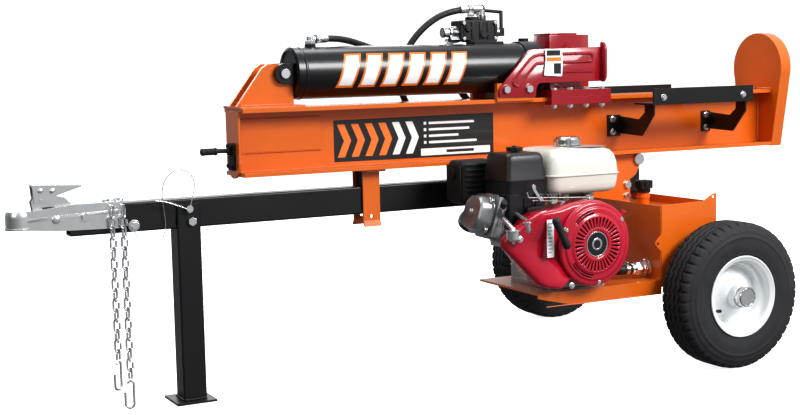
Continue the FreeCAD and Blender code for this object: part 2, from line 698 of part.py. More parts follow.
def throttle_lever():
    x, y, z = THROTTLE
    blade = prism([(x - 4, z - 5), (x + 5, z - 5), (x - 22, z + 36), (x - 30, z + 33)], "y", y - 2, y)
    knob = rod(6, (x - 26, y + 2, z + 34), (x - 26, y - 8, z + 34))
    return join(blade, rod(6, (x, y - 3, z), (x, y, z)), knob)


def fuel_cap():
    x, y = FUEL_CAP
    z1 = FUEL[5]
    cap = join(rod(38, (x, y, z1 + 2), (x, y, z1 + 22)), cone(38, 32, (x, y, z1 + 22), (x, y, z1 + 27)))
    return cap.cut(rod(26.4, (x, y, z1 - 1), (x, y, z1 + 8.4)))


def pump_mount():
    cx, cz = CRANK
    bell = ring(74, 64, (cx, -135, cz), (cx, -66, cz))
    back = ring(72, 20, (cx, -72, cz), (cx, -62, cz))
    return join(bell, back)


def hydraulic_pump():
    cx, cz = CRANK
    body = upright_rounded(-484, -388, -62, 46, 328, 428, 12)
    nose = rod(18, (cx, -79.5, cz), (cx, -62, cz))
    outlet = rod(12, (-486, -10, 378), (-502, -10, 378))
    return join(body, nose, outlet)


def return_filter():
    x, y = FILTER
    z = TANK[4]
    stem = rod(14, (x, y, z), (x, y, z + 30))
    head = box(x - 42, x + 42, y - 42, y + 42, z + 28, z + 60)
    can = rod(46, (x, y, z + 60), (x, y, z + 185))
    can = can.makeFillet(8, [e for e in can.Edges if e.BoundBox.ZMin > z + 180])
    port = rod(12, (x + 42, y, z + 44), (x + 60, y, z + 44))
    return join(stem, head, can, port)


# ---- beam ----
def beam():
    x0, x1 = BEAM_X
    z0, z1 = BEAM_Z
    f = FLANGE_HALF
    t = FLANGE_T
    outline = [(-f, z0), (f, z0), (f, z0 + t), (WEB_HALF, z0 + t), (WEB_HALF, z1 - t), (f, z1 - t), (f, z1),
               (-f, z1), (-f, z1 - t), (-WEB_HALF, z1 - t), (-WEB_HALF, z0 + t), (-f, z0 + t)]
    section = prism(outline, "x", x0, x1)
    end = box(x0 - 6, x0, -46, 46, 612, 750)
    end = join(end, rod(46, (x0 - 6, 0, 620), (x0, 0, 620)).common(box(x0 - 7, x0 + 1, -46, 46, 574, 700)))
    doublers = [box(-1270, -1040, s * WEB_HALF - (5 if s < 0 else 0), s * WEB_HALF + (5 if s > 0 else 0), 641, 728)
                for s in (-1, 1)]
    lug = join(box(-18, 18, -25, 25, PIVOT_Z, z0), rod(18, (0, -25, PIVOT_Z), (0, 25, PIVOT_Z)))
    ears = [box(-522, -398, s * 62 if s > 0 else -76.7, 76.7 if s > 0 else -62, z1 - 6, 803) for s in (-1, 1)]
    body = join(section, end, lug, *doublers, *ears)
    body = body.cut(rod(PIN_R + FIT, (0, -60, PIVOT_Z), (0, 60, PIVOT_Z)))
    for x, z in STRIPPER_BOLTS:
        body = body.cut(hole((x, -90, z), (0, 1, 0), 180, 12))
    for x, z in WEB_BOLTS:
        body = body.cut(hole((x, -30, z), (0, 1, 0), 60, 10))
    return join(body, cylinder_anchor())


STRIPPER_BOLTS = [(-496.0, 785.0), (-420.0, 785.0)]
WEB_BOLTS = [(-76.0, 683.0), (-76.0, 645.0), (283.0, 683.0), (283.0, 645.0)]


def foot_plate():
    x0, x1 = FOOT_X
    half_low = 68.0
    half_mid = 100.0
    mid = BEAM_Z[1]
    cz = FOOT_TOP - FOOT_R
    lower = prism([(-half_low, 578), (half_low, 578), (half_mid, mid), (FOOT_R - 1.5, cz - 14), (-FOOT_R + 1.5, cz - 14),
                   (-half_mid, mid)], "x", x0, x1)
    return join(lower, rod(FOOT_R, (x0, 0, cz), (x1, 0, cz)))


def cylinder_anchor():
    plate = [(-1286, 764), (-1212, 862), (-1196, 872), (-1150, 872), (-1130, 860), (-1125, 764)]
    side = prism(plate, "y", -32, -20)
    base = box(-1290, -1104, -60, 60, BEAM_Z[1], 764)
    body = join(base, side, mirrored(side))
    return body.cut(rod(PIN_R + FIT, (CLEVIS_X, -60, CYL_Z), (CLEVIS_X, 60, CYL_Z)))


def anchor_pin():
    shaft = rod(PIN_R, (CLEVIS_X, -52, CYL_Z), (CLEVIS_X, 52, CYL_Z))
    return join(shaft, rod(16, (CLEVIS_X, 48, CYL_Z), (CLEVIS_X, 54, CYL_Z)))


def cylinder_barrel():
    """Tube, base cap with its clevis ears, ports and gland of the ram."""
    x0, x1 = BARREL_X
    tube = ring(CYL_R, BORE_R, (x0, 0, CYL_Z), (x1, 0, CYL_Z))
    base = rod(CYL_R, (x0 - 22, 0, CYL_Z), (x0 + 1, 0, CYL_Z))
    ears = []
    for s in (-1, 1):
        y0 = min(s * 33, s * 46)
        ear = join(rod(27, (CLEVIS_X, y0, CYL_Z), (CLEVIS_X, y0 + 13, CYL_Z)),
                   box(CLEVIS_X, x0 - 20, y0, y0 + 13, CYL_Z - 27, CYL_Z + 27))
        ears.append(ear)
    gland = rod(75, (x1 - 1, 0, CYL_Z), (GLAND_END_X, 0, CYL_Z))
    gland = gland.makeFillet(6, [e for e in gland.Edges if abs(e.BoundBox.XMax - GLAND_END_X) < 1
                                 and abs(e.BoundBox.XMin - GLAND_END_X) < 1])
    port = rod(15, (-1060, 0, CYL_Z + 60), (-1060, 0, CYL_Z + 76))
    foot = box(-560, -464, -20, 30, CYL_Z + 62, CYL_Z + 76)
    rod_port = rod(15, (-372, 20, CYL_Z + 64), (-372, 20, CYL_Z + 84))
    body = join(tube, base, gland, port, foot, rod_port, *ears)
    body = cut(body, rod(PIN_R + FIT, (CLEVIS_X, -60, CYL_Z), (CLEVIS_X, 60, CYL_Z)),
               rod(ROD_R + FIT, (x1 - 30, 0, CYL_Z), (GLAND_END_X + 5, 0, CYL_Z)),
               rod(BORE_R, (x0, 0, CYL_Z), (x1, 0, CYL_Z)))
    return body


def beam_saddle():
    """The inverted U under the beam that drops over the drawbar and takes the lock pin."""
    leg = prism([(-929, 438), (-929, 580), (-878, 580), (-878, 438)], "y", -33, -28)
    lip = prism([(-33, 438), (-28, 438), (-36, 422), (-41, 424)], "x", -929, -878)
    leg = cut(join(leg, lip), hole((-905, -40, 450), (0, 1, 0), 20, 10))
    top = box(-929, -872, -60, 60, 574, BEAM_Z[0])
    far = mirrored(leg)
    return join(top, leg, far)


def beam_rest():
    """The rubber pad on the drawbar that carries the beam when it lies level."""
    return box(-920, -886, -20, 20, TONGUE_Z[1], 573.6)


def lift_handle():
    z = 648.0
    x = BEAM_X[0] - 6
    arm = rod(6, (x, 0, z), (x - 84, 0, z + 2))
    grip = rod(10, (x - 46, 0, z + 1), (x - 82, 0, z + 2))
    plate = box(x - 6, x, -22, 22, 596, 668)
    arm = arm.cut(box(x, x + 20, -20, 20, 600, 700))
    return join(arm, grip, plate)


def stripper(sign):
    """One side guard that pushes a stuck log off the wedge, bolted to an ear of the beam."""
    outline = [(-519, 764), (-519, 786), (-421, 892), (-168, 902), (-168, 801), (-384, 801), (-394, 794), (-396, 762)]
    plate = prism(outline, "y", STRIP_Y[0], STRIP_Y[1])
    flange = prism([(STRIP_Y[0], 801), (STRIP_Y[0], 915), (STRIP_Y[1] + 9, 915), (STRIP_Y[1] + 18, 900),
                    (STRIP_Y[1] + 18, 812), (STRIP_Y[1] + 9, 798)], "x", -168, -160)
    body = join(plate, flange)
    for x, z in STRIPPER_BOLTS:
        body = body.cut(hole((x, STRIP_Y[0] - 2, z), (0, 1, 0), 10, 12))
    return body if sign > 0 else mirrored(body)


TRAY_X = (-66.0, 309.0)
TRAY_Y = (106.0, 197.0)
TRAY_Z = (729.0, 777.0)
ARM_X = (-46.0, 300.0)


def log_cradle(sign):
    """A log tray on two arms bolted to the beam's web."""
    x0, x1 = TRAY_X
    y0, y1 = TRAY_Y
    z0, z1 = TRAY_Z
    parts = [box(x0, x1, y0, y1, z0, z0 + 5), box(x0, x1, y1 - 5, y1, z0, z1)]
    for arm_x, web_x in zip(ARM_X, (-92.0, 268.0)):
        arm = prism([(6, 640), (6, 692), (108, 684), (136, 706), (136, z0), (178, z0), (178, 700), (120, 636)],
                    "x", arm_x - 6, arm_x)
        parts.append(arm)
        parts.append(box(web_x, arm_x, 5.3, 11, 632, 696))
    body = join(parts[0], *parts[1:])
    for x, z in WEB_BOLTS:
        body = body.cut(hole((x, 4, z), (0, 1, 0), 10, 10))
    return body if sign > 0 else mirrored(body)


VALVE = (-575.0, -450.0, 32.0, 92.0, 924.0, 984.0)


def control_valve():
    x0, x1, y0, y1, z0, z1 = VALVE
    body = all_rounded(x0, x1, y0, y1, z0, z1, 5)
    dome = rod(20, (-520, 62, z1 - 2), (-520, 62, z1 + 10))
    detent = rod(14, (x0 + 2, 56, 950), (x0 - 48, 56, 950))
    collar = hexagon(34, (x0 + 2, 56, 950), (x0 - 18, 56, 950))
    relief = rod(8, (x0 + 2, 46, 930), (x0 - 30, 46, 930))
    end = rod(13, (x1 - 2, 56, 950), (x1 + 14, 56, 950))
    pad = box(-556, -468, 10, 60, 922, z0 + 4)
    elbow_post = hexagon(26, (-486, 70, z1 - 2), (-486, 70, z1 + 16))
    elbow = join(rod(12, (-486, 70, z1 + 14), (-486, 70, z1 + 36)), Part.makeSphere(13, V(-486, 70, z1 + 34)),
                 rod(12, (-486, 70, z1 + 34), (-516, 70, z1 + 34)))
    clevis = join(box(x1 + 12, x1 + 30, 46, 52.5, 938, 962), box(x1 + 12, x1 + 30, 60.5, 67, 938, 962),
                  box(x1 + 12, x1 + 15, 46, 67, 938, 962))
    body = join(body, dome, detent, collar, relief, end, pad, elbow_post, elbow, clevis)
    return body.cut(rod(3 + FIT, (x1 + 25, 40, 950), (x1 + 25, 75, 950)))


LEVER_PIVOT = (VALVE[1] + 25, 950.0)


def valve_lever():
    """The operator's lever: a forked link on a cross pin, and a rod with a ball towards the far side."""
    x, z = LEVER_PIVOT
    pin = rod(3, (x, 44, z), (x, 69, z))
    blade = box(x - 4, x + 5, 53, 60, z - 8, z + 62)
    arm = join(rod(5, (x, 56, z + 58), (x + 4, 190, z + 70)), Part.makeSphere(17, V(x + 4, 196, z + 71)))
    return join(pin, blade, arm)


PRESSURE_UPPER = [(-517, 70, 1018), (-585, 72, 1014), (-655, 86, 978), (-712, 98, 915), (-736, 108, 845),
                  (-728, 116, 770), (-672, 120, 706), (-585, 122, 668), (-470, 122, 658), (-350, 122, 650),
                  (-240, 126, 640), (-145, 146, 622), (-62, 170, 590), (-8, 168, 564), (0, 136, 560),
                  (0, 104, 560)]
PRESSURE_LOWER = [(0, 104, 560), (0, 78, 560), (-28, 66, 545), (-90, 86, 520), (-180, 102, 496),
                  (-280, 106, 478), (-380, 106, 462), (-470, 104, 446), (-540, 92, 422), (-572, 62, 398),
                  (-572, 18, 382), (-540, -10, 378), (-502.5, -10, 378)]
RETURN_UPPER = [(-560, 96, 936), (-560, 122, 930), (-556, 142, 895), (-540, 148, 830), (-500, 150, 760),
                (-430, 154, 700), (-330, 160, 668), (-230, 180, 652), (-140, 214, 630), (-62, 252, 596),
                (-8, 262, 566), (0, 236, 560), (0, 212, 560)]
RETURN_LOWER = [(0, 212, 560), (0, 198, 560), (8, 187, 548), (16, 184, 520), (14, 202, 494), (6, 244, 482),
                (2, 286, 479), (-14, 312, 479), (-35.5, 312, 479)]
BASE_PORT = [(-1045, 0, 936), (-1000, 6, 938), (-940, 30, 934), (-870, 62, 918), (-790, 82, 894),
             (-710, 86, 888), (-640, 78, 900), (-590, 66, 914)]


def upper_hoses():
    """Pressure hose from the valve to the tilt axis, return hose, and the hose to the base port."""
    pressure = hose(PRESSURE_UPPER, 9.5, "pressure_hose_upper")
    back = hose(RETURN_UPPER, 11.0, "return_hose_upper")
    base = hose(BASE_PORT, 9.0, "base_port_hose")
    elbow = join(rod(12, (-1060, 0, 922), (-1060, 0, 936)), Part.makeSphere(12.5, V(-1060, 0, 936)),
                 rod(11, (-1060, 0, 936), (-1045, 0, 936)))
    return group(pressure, back, base, elbow)


def lower_hoses():
    """Pressure hose from the pump to the tilt axis, and return hose from there to the filter."""
    pressure = hose(PRESSURE_LOWER, 9.5, "pressure_hose_lower")
    back = hose(RETURN_LOWER, 11.0, "return_hose_lower")
    return group(pressure, back)


# ---- ram and wedge ----
def ram_rod():
    """Chromed rod with its piston, shown drawn in."""
    x0, x1 = BARREL_X
    piston = rod(BORE_R - FIT, (x0 + 8, 0, CYL_Z), (x0 + 56, 0, CYL_Z))
    shaft = rod(ROD_R, (x0 + 50, 0, CYL_Z), (WEDGE_X[0] + 30, 0, CYL_Z))
    return join(piston, shaft)


def wedge():
    x0, x1 = WEDGE_X
    z0 = SLIDE_Z[1]
    plan = [(x0, -42), (x0, 42), (x0 + 48, 42), (x1 - 38, 16), (x1, 0.8), (x1, -0.8), (x1 - 38, -16), (x0 + 48, -42)]
    blade = prism(plan, "z", z0, WEDGE_TOP)
    return blade.cut(rod(ROD_R, (x0 - 1, 0, CYL_Z), (x0 + 30, 0, CYL_Z)))


SLIDE_BOLTS = [-334.0, -278.0, -222.0, -166.0]


def slide_plate():
    x0, x1 = SLIDE_X
    plate = box(x0, x1, -SLIDE_HALF, SLIDE_HALF, SLIDE_Z[0], SLIDE_Z[1])
    for x in SLIDE_BOLTS:
        for s in (-1, 1):
            plate = plate.cut(hole((x, s * 81, 750), (0, 0, 1), 40, 10))
    return plate


def gib_blocks():
    """A spacer and a gib on each side, which hold the slide plate to the beam's top flange."""
    x0, x1 = SLIDE_X
    inner = FLANGE_HALF + GAP
    low = BEAM_Z[1] - FLANGE_T - GAP
    spacer = box(x0, x1, inner, SLIDE_HALF, low, SLIDE_Z[0])
    gib = box(x0, x1, FLANGE_HALF - 12, SLIDE_HALF, low - 10, low)
    one = join(spacer, gib)
    for x in SLIDE_BOLTS:
        one = one.cut(hole((x, 81, low - 12), (0, 0, 1), 40, 10))
    return pair(one)


# ---- fasteners ----
def frame_bolts():
    half = TONGUE_W / 2
    x, z, d = COUPLER_BOLT
    skin = COUPLER_IN + COUPLER_SKIN
    parts = [bolt((x, -skin, z), (0, 1, 0), 2 * skin, d)]
    for x, z in BRACKET_BOLTS:
        parts.append(bolt((x, -half - 10, z), (0, 1, 0), 2 * half + 20, 12.7))
    x, z = STAND_PIVOT
    leg = STAND_SQ / 2 + GAP
    parts.append(bolt((x, -leg, z), (0, 1, 0), 2 * leg, 12.7))
    for x in (BASE[0] + 14, BASE[1] - 14):
        for y in (BASE[2] + 16, BASE[3] - 16):
            shank = rod(5, (x, y, PLATFORM_Z - 18), (x, y, PLATFORM_Z + 6))
            parts.append(join(hexagon(16, (x, y, PLATFORM_Z - 14), (x, y, PLATFORM_Z - 6)), shank))
    return group(*parts)


def beam_bolts():
    parts = []
    for s in (-1, 1):
        for x, z in STRIPPER_BOLTS:
            parts.append(bolt((x, s * STRIP_Y[1], z), (0, -s, 0), STRIP_Y[1] - 62, 12))
    for x, z in WEB_BOLTS:
        parts.append(bolt((x, -11, z), (0, 1, 0), 22, 10))
    return group(anchor_pin(), *parts)


def slide_bolts():
    parts = []
    low = BEAM_Z[1] - FLANGE_T - GAP - 10
    for x in SLIDE_BOLTS:
        for s in (-1, 1):
            parts.append(bolt((x, s * 81, SLIDE_Z[1]), (0, 0, -1), SLIDE_Z[1] - low, 10))
    return group(*parts)


NODES = {
    "tongue": tongue, "coupler": coupler, "coupler_latch": coupler_latch,
    "safety_chain_anchor": safety_chain_anchor,
    "safety_chain_front": lambda: safety_chain(CHAIN_XS[0], 15, 30),
    "safety_chain_rear": lambda: safety_chain(CHAIN_XS[1], 17, -25),
    "stand_leg": stand_leg, "stand_pin": stand_pin, "pin_lanyard": pin_lanyard,
    "axle": axle, "tyre_near": lambda: tyre(-1), "tyre_far": lambda: tyre(1),
    "rim_near": lambda: rim(-1), "rim_far": lambda: rim(1),
    "wheel_bearings_near": lambda: wheel_bearings(-1), "wheel_bearings_far": lambda: wheel_bearings(1),
    "hub_cap_near": lambda: hub_cap(-1), "hub_cap_far": lambda: hub_cap(1),
    "tank": tank, "filler_cap": filler_cap, "suction_hose": suction_hose,
    "pivot_bracket": pivot_bracket, "pivot_pin": pivot_pin, "engine_platform": engine_platform,
    "engine_block": engine_block, "valve_cover": valve_cover, "blower_housing": blower_housing,
    "recoil_cover": recoil_cover, "recoil_handle": recoil_handle, "crankshaft": crankshaft,
    "muffler": muffler, "air_cleaner": air_cleaner, "carburettor": carburettor,
    "fuel_tank": fuel_tank, "fuel_cap": fuel_cap, "pump_mount": pump_mount,
    "hydraulic_pump": hydraulic_pump, "return_filter": return_filter, "beam": beam,
    "foot_plate": foot_plate, "throttle_lever": throttle_lever,
    "cylinder_barrel": cylinder_barrel, "beam_saddle": beam_saddle, "beam_rest": beam_rest,
    "lift_handle": lift_handle, "stripper_near": lambda: stripper(-1), "stripper_far": lambda: stripper(1),
    "log_cradle_near": lambda: log_cradle(-1), "log_cradle_far": lambda: log_cradle(1),
    "control_valve": control_valve, "valve_lever": valve_lever, "upper_hoses": upper_hoses,
    "lower_hoses": lower_hoses, "ram_rod": ram_rod, "wedge": wedge, "slide_plate": slide_plate,
    "gib_blocks": gib_blocks, "slide_bolts": slide_bolts, "frame_bolts": frame_bolts,
    "beam_bolts": beam_bolts,
}


def main():
    os.makedirs("parts", exist_ok=True)
    shapes = {}
    for name, make in NODES.items():
        shapes[name] = make()
    for name, shape in shapes.items():
        shape = shape.copy()
        shape.translate(V(-ORIGIN_X, 0, 0))
        bad = [s for s in shape.Solids if not s.isValid()]
        if bad or not shape.Solids:
            print("CHECK", name, len(bad), "of", len(shape.Solids), "solids not valid")
        shape.exportStep("parts/%s.step" % name)
    print(len(shapes), "nodes")


main()
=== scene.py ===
import bmesh
import bpy
import math
from mathutils import Matrix, Vector


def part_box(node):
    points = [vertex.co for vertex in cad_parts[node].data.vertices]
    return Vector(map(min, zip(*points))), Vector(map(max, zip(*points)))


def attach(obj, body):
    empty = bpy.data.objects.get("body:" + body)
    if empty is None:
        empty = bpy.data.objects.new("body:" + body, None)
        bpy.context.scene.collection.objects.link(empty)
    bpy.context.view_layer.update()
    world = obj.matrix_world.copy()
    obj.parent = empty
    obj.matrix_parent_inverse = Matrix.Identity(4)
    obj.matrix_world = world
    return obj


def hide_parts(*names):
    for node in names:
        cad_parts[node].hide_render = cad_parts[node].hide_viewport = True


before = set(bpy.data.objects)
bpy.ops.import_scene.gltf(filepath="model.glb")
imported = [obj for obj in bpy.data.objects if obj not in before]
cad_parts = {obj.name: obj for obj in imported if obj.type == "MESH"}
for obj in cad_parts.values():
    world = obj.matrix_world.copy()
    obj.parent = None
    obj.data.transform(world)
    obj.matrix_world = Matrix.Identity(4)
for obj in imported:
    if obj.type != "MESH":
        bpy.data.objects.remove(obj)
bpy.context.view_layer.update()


# ---- view: the machine from its engine side, a little in front of the coupler and low down ----
# All shapes below are placed in mm from the wheel axis, the middle plane and the ground.
MM = 0.001
AXLE_X = (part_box("axle")[0][0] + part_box("axle")[1][0]) / 2


def at(x, y, z):
    """A point in mm from the wheel axis, the middle plane and the ground, as metres in the frame."""
    return Vector((AXLE_X + x * MM, y * MM, z * MM))


YAW, PITCH, ROLL = 0.476, 0.108, -0.022
ahead = Vector((math.sin(YAW) * math.cos(PITCH), math.cos(YAW) * math.cos(PITCH), -math.sin(PITCH)))
level = Vector((math.cos(YAW), -math.sin(YAW), 0))
upward = level.cross(ahead)
side_way = level * math.cos(ROLL) + upward * math.sin(ROLL)
top_way = upward * math.cos(ROLL) - level * math.sin(ROLL)
FOCAL_LENGTH, SENSOR_WIDTH = 61.4, 36
EYE = (-1.8699, -3.3816, 0.8764)
lens = bpy.data.cameras.new("camera")
lens.lens = FOCAL_LENGTH
lens.sensor_width = SENSOR_WIDTH
camera = bpy.data.objects.new("camera", lens)
turn = Matrix((side_way, top_way, -ahead)).transposed().to_4x4()
camera.matrix_world = Matrix.Translation(EYE) @ turn
bpy.context.collection.objects.link(camera)
bpy.context.scene.camera = camera


# ---- stand pin's lanyard: a limp galvanised wire from the cross bolt to the pin, both ends looped ----
# Stranded steel wire: grey metal, with painted shade in the grooves between the twisted strands and painted
# highlight on their crowns.
def colour(code):
    """An sRGB hex colour as linear red, green, blue and alpha."""
    parts = [int(code[i:i + 2], 16) / 255 for i in (1, 3, 5)]
    linear = [c / 12.92 if c <= 0.04045 else ((c + 0.055) / 1.055) ** 2.4 for c in parts]
    return (*linear, 1.0)


def every(mm):
    """The scale at which a pattern repeats about every so many mm on object coordinates."""
    return 1 / (mm * MM)


def add(tree, kind, sockets=(), **settings):
    """Add a node: settings are its own attributes, sockets its inputs as values or outputs to link."""
    node = tree.nodes.new(kind)
    for name, value in settings.items():
        setattr(node, name, value)
    for name, value in dict(sockets).items():
        if isinstance(value, bpy.types.NodeSocket):
            tree.links.new(value, node.inputs[name])
        else:
            node.inputs[name].default_value = value
    return node


def surface(name, code, rough, metallic=0.0, more=()):
    """A new material with its shader set, and its tree, shader and object coordinates."""
    material = bpy.data.materials.new(name)
    material.use_nodes = True
    tree = material.node_tree
    shader = tree.nodes["Principled BSDF"]
    shader.inputs["Base Color"].default_value = colour(code)
    shader.inputs["Roughness"].default_value = rough
    shader.inputs["Metallic"].default_value = metallic
    for socket, value in dict(more).items():
        shader.inputs[socket].default_value = value
    place = add(tree, "ShaderNodeTexCoord").outputs["Object"]
    return material, tree, shader, place


def shades(tree, shader, mask, first, second, socket="Base Color"):
    """Lead a socket from one value to another as a mask goes from 0 to 1."""
    ramp = add(tree, "ShaderNodeValToRGB", {"Fac": mask})
    for end, value in zip(ramp.color_ramp.elements, (first, second)):
        end.color = colour(value) if isinstance(value, str) else (value, value, value, 1)
    tree.links.new(ramp.outputs["Color"], shader.inputs[socket])
    return ramp


def relief(tree, shader, height, depth_mm, round_mm=0.0, strength=1.0):
    """Bump of a given real depth, on edges that are rounded by a small radius if one is given."""
    bump = add(tree, "ShaderNodeBump", {"Height": height, "Distance": depth_mm * MM, "Strength": strength})
    if round_mm:
        edge = add(tree, "ShaderNodeBevel", {"Radius": round_mm * MM}, samples=4)
        tree.links.new(edge.outputs["Normal"], bump.inputs["Normal"])
    tree.links.new(bump.outputs["Normal"], shader.inputs["Normal"])


def wire_rope():
    material, tree, shader, place = surface("galvanised_wire_rope", "#a9abad", 0.34, 1.0)
    strands_and_shade = add(tree, "ShaderNodeTexWave", {"Vector": place, "Scale": every(9), "Distortion": 1.5},
                  bands_direction="DIAGONAL")
    # Painted shade darkens the low grooves between the strands; painted highlight lightens their raised
    # crowns.
    shades(tree, shader, strands_and_shade.outputs["Fac"], "#77797b", "#c2c4c6")
    relief(tree, shader, strands_and_shade.outputs["Fac"], 0.4)
    return material


def line_through(name, points, radius_mm, material, body):
    """A round cord whose centreline is a smooth curve guided by points in mm."""
    data = bpy.data.curves.new(name, "CURVE")
    data.dimensions = "3D"
    spline = data.splines.new("NURBS")
    spline.points.add(len(points) - 1)
    for point, place in zip(spline.points, points):
        point.co = (*at(*place), 1)
    spline.order_u = 3
    spline.use_endpoint_u = True
    spline.resolution_u = 12
    data.bevel_depth = radius_mm * MM
    data.bevel_resolution = 5
    data.use_fill_caps = True
    cord = bpy.data.objects.new(name, data)
    bpy.context.collection.objects.link(cord)
    data.materials.append(material)
    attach(cord, body)
    return cord


LANYARD = [(-1572, -32.4, 461), (-1566, -36, 440), (-1548, -38, 424), (-1522, -36, 420), (-1500, -34, 434),
           (-1490, -33, 462), (-1492, -33, 500), (-1498, -33, 540), (-1494, -34, 575), (-1478, -36, 600),
           (-1452, -38, 612), (-1425, -40, 602), (-1412, -42, 580), (-1414, -44, 556), (-1422, -47, 536),
           (-1427, -48.5, 518)]
lanyard = line_through("pin_lanyard_wire", LANYARD, 1.2, wire_rope(), "chassis")
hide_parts("pin_lanyard")


# ---- hydraulic hoses: wire-braided rubber hose with crimped steel ends, parted at the tilt axis ----
# Nitrile rubber cover, vulcanised in a cloth wrap, which leaves fine cross bands on a satin black.
def hose_rubber():
    material, tree, shader, place = surface("wrapped_hose_rubber", "#17171a", 0.5)
    wrap = add(tree, "ShaderNodeTexWave", {"Vector": place, "Scale": every(14), "Distortion": 3.0},
               bands_direction="DIAGONAL")
    dust = add(tree, "ShaderNodeTexNoise", {"Vector": place, "Scale": every(30), "Detail": 6.0})
    shades(tree, shader, dust.outputs["Fac"], "#0e0e10", "#222226")
    shades(tree, shader, dust.outputs["Fac"], 0.42, 0.62, "Roughness")
    relief(tree, shader, wrap.outputs["Fac"], 0.35)
    return material


HOSE = hose_rubber()
PRESSURE_UPPER = [(-517, 70, 1018), (-585, 72, 1014), (-655, 86, 978), (-712, 98, 915), (-736, 108, 845),
                  (-728, 116, 770), (-672, 120, 706), (-585, 122, 668), (-470, 122, 658), (-350, 122, 650),
                  (-240, 126, 640), (-145, 146, 622), (-62, 170, 590), (-8, 168, 564), (0, 136, 560),
                  (0, 104, 560)]
PRESSURE_LOWER = [(0, 104, 560), (0, 78, 560), (-28, 66, 545), (-90, 86, 520), (-180, 102, 496),
                  (-280, 106, 478), (-380, 106, 462), (-470, 104, 446), (-540, 92, 422), (-572, 62, 398),
                  (-572, 18, 382), (-540, -10, 378), (-502.5, -10, 378)]
RETURN_UPPER = [(-560, 96, 936), (-560, 122, 930), (-556, 142, 895), (-540, 148, 830), (-500, 150, 760),
                (-430, 154, 700), (-330, 160, 668), (-230, 180, 652), (-140, 214, 630), (-62, 252, 596),
                (-8, 262, 566), (0, 236, 560), (0, 212, 560)]
RETURN_LOWER = [(0, 212, 560), (0, 198, 560), (8, 187, 548), (16, 184, 520), (14, 202, 494), (6, 244, 482),
                (2, 286, 479), (-14, 312, 479), (-35.5, 312, 479)]
BASE_PORT = [(-1045, 0, 936), (-1000, 6, 938), (-940, 30, 934), (-870, 62, 918), (-790, 82, 894),
             (-710, 86, 888), (-640, 78, 900), (-590, 66, 914)]
SUCTION = [(-236, -310, 278), (-282, -310, 278), (-304, -262, 278), (-306, -190, 282), (-306, -120, 294),
           (-314, -66, 328), (-332, -22, 364), (-358, -10, 378), (-387.8, -10, 378)]
HOSES = [("pressure_hose_on_beam", PRESSURE_UPPER, 9.5, 1.214, "beam_unit", "upper_hoses"),
         ("pressure_hose_on_frame", PRESSURE_LOWER, 9.5, 0.759, "chassis", "lower_hoses"),
         ("return_hose_on_beam", RETURN_UPPER, 11.0, 0.812, "beam_unit", "upper_hoses"),
         ("return_hose_on_frame", RETURN_LOWER, 11.0, 0.226, "chassis", "lower_hoses"),
         ("base_port_hose_run", BASE_PORT, 9.0, 0.478, "beam_unit", "upper_hoses"),
         ("suction_hose_run", SUCTION, 14.0, 0.419, "chassis", "suction_hose")]
for name, route, radius, length, body, node in HOSES:
    hose = line_through(name, route, radius, HOSE, body)
    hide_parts(node)


# ---- drawbar and axle: rectangular steel tube, welded and powder coated black ----
# Satin powder coat over steel: faint orange peel, and its corners lightened by a painted highlight.
def enamel(name, code, painted_edge_code, rough, peel_mm=3.0, peel_depth=0.03, gloss_coat=0.0):
    """Paint on steel with its orange peel, an uneven film, and its edges tinted towards a second colour:
    painted highlight where that colour is lighter, painted shade where it is darker.
    """
    material, tree, shader, place = surface(name, code, rough,
                                            more={"Coat Weight": gloss_coat, "Coat Roughness": 0.09})
    film = add(tree, "ShaderNodeTexNoise", {"Vector": place, "Scale": every(160), "Detail": 5.0})
    edge = add(tree, "ShaderNodeBevel", {"Radius": 1.6 * MM}, samples=4)
    plain = add(tree, "ShaderNodeNewGeometry")
    alike = add(tree, "ShaderNodeVectorMath", {0: edge.outputs["Normal"], 1: plain.outputs["Normal"]},
                operation="DOT_PRODUCT")
    # Painted highlight: the rounded normal picks out the edges, and there the colour turns towards the
    # painted edge colour.
    painted_edge = add(tree, "ShaderNodeMapRange", {"Value": alike.outputs["Value"], "From Min": 0.995,
                                            "From Max": 0.8, "To Min": 0.0, "To Max": 0.3})
    base = add(tree, "ShaderNodeValToRGB", {"Fac": film.outputs["Fac"]})
    base.color_ramp.elements[0].position = 0.3
    base.color_ramp.elements[1].position = 0.7
    full = colour(code)
    base.color_ramp.elements[0].color = (*[c * 0.93 for c in full[:3]], 1)
    base.color_ramp.elements[1].color = (*[min(1, c * 1.05) for c in full[:3]], 1)
    mixed = add(tree, "ShaderNodeMix", {"Factor": painted_edge.outputs["Result"], "A": base.outputs["Color"],
                                        "B": colour(painted_edge_code)}, data_type="RGBA")
    tree.links.new(mixed.outputs["Result"], shader.inputs["Base Color"])
    shades(tree, shader, film.outputs["Fac"], rough * 0.82, min(1.0, rough * 1.22), "Roughness")
    peel = add(tree, "ShaderNodeTexNoise", {"Vector": place, "Scale": every(peel_mm), "Detail": 1.0})
    relief(tree, shader, peel.outputs["Fac"], peel_depth, 1.4)
    return material


def paint(material, *nodes):
    """Give CAD nodes their material."""
    for node in nodes:
        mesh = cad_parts[node].data
        mesh.materials.clear()
        mesh.materials.append(material)


BLACK = enamel("black_powder_coat", "#111112", "#2a2a2c", 0.36, 2.5, 0.05)
paint(BLACK, "tongue", "axle", "stand_leg")


def keep(bm, name, material, body, slot, *stands_for, sharp=35):
    """Turn a bmesh into a smooth-shaded piece that rides on a body and stands for CAD nodes."""
    bmesh.ops.recalc_face_normals(bm, faces=bm.faces)
    mesh = bpy.data.meshes.new(name)
    bm.to_mesh(mesh)
    bm.free()
    mesh.shade_smooth()
    mesh.set_sharp_from_angle(angle=math.radians(sharp))
    mesh.materials.append(material)
    piece = bpy.data.objects.new(name, mesh)
    bpy.context.collection.objects.link(piece)
    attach(piece, body)
    if stands_for:
        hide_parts(*stands_for)
    return piece


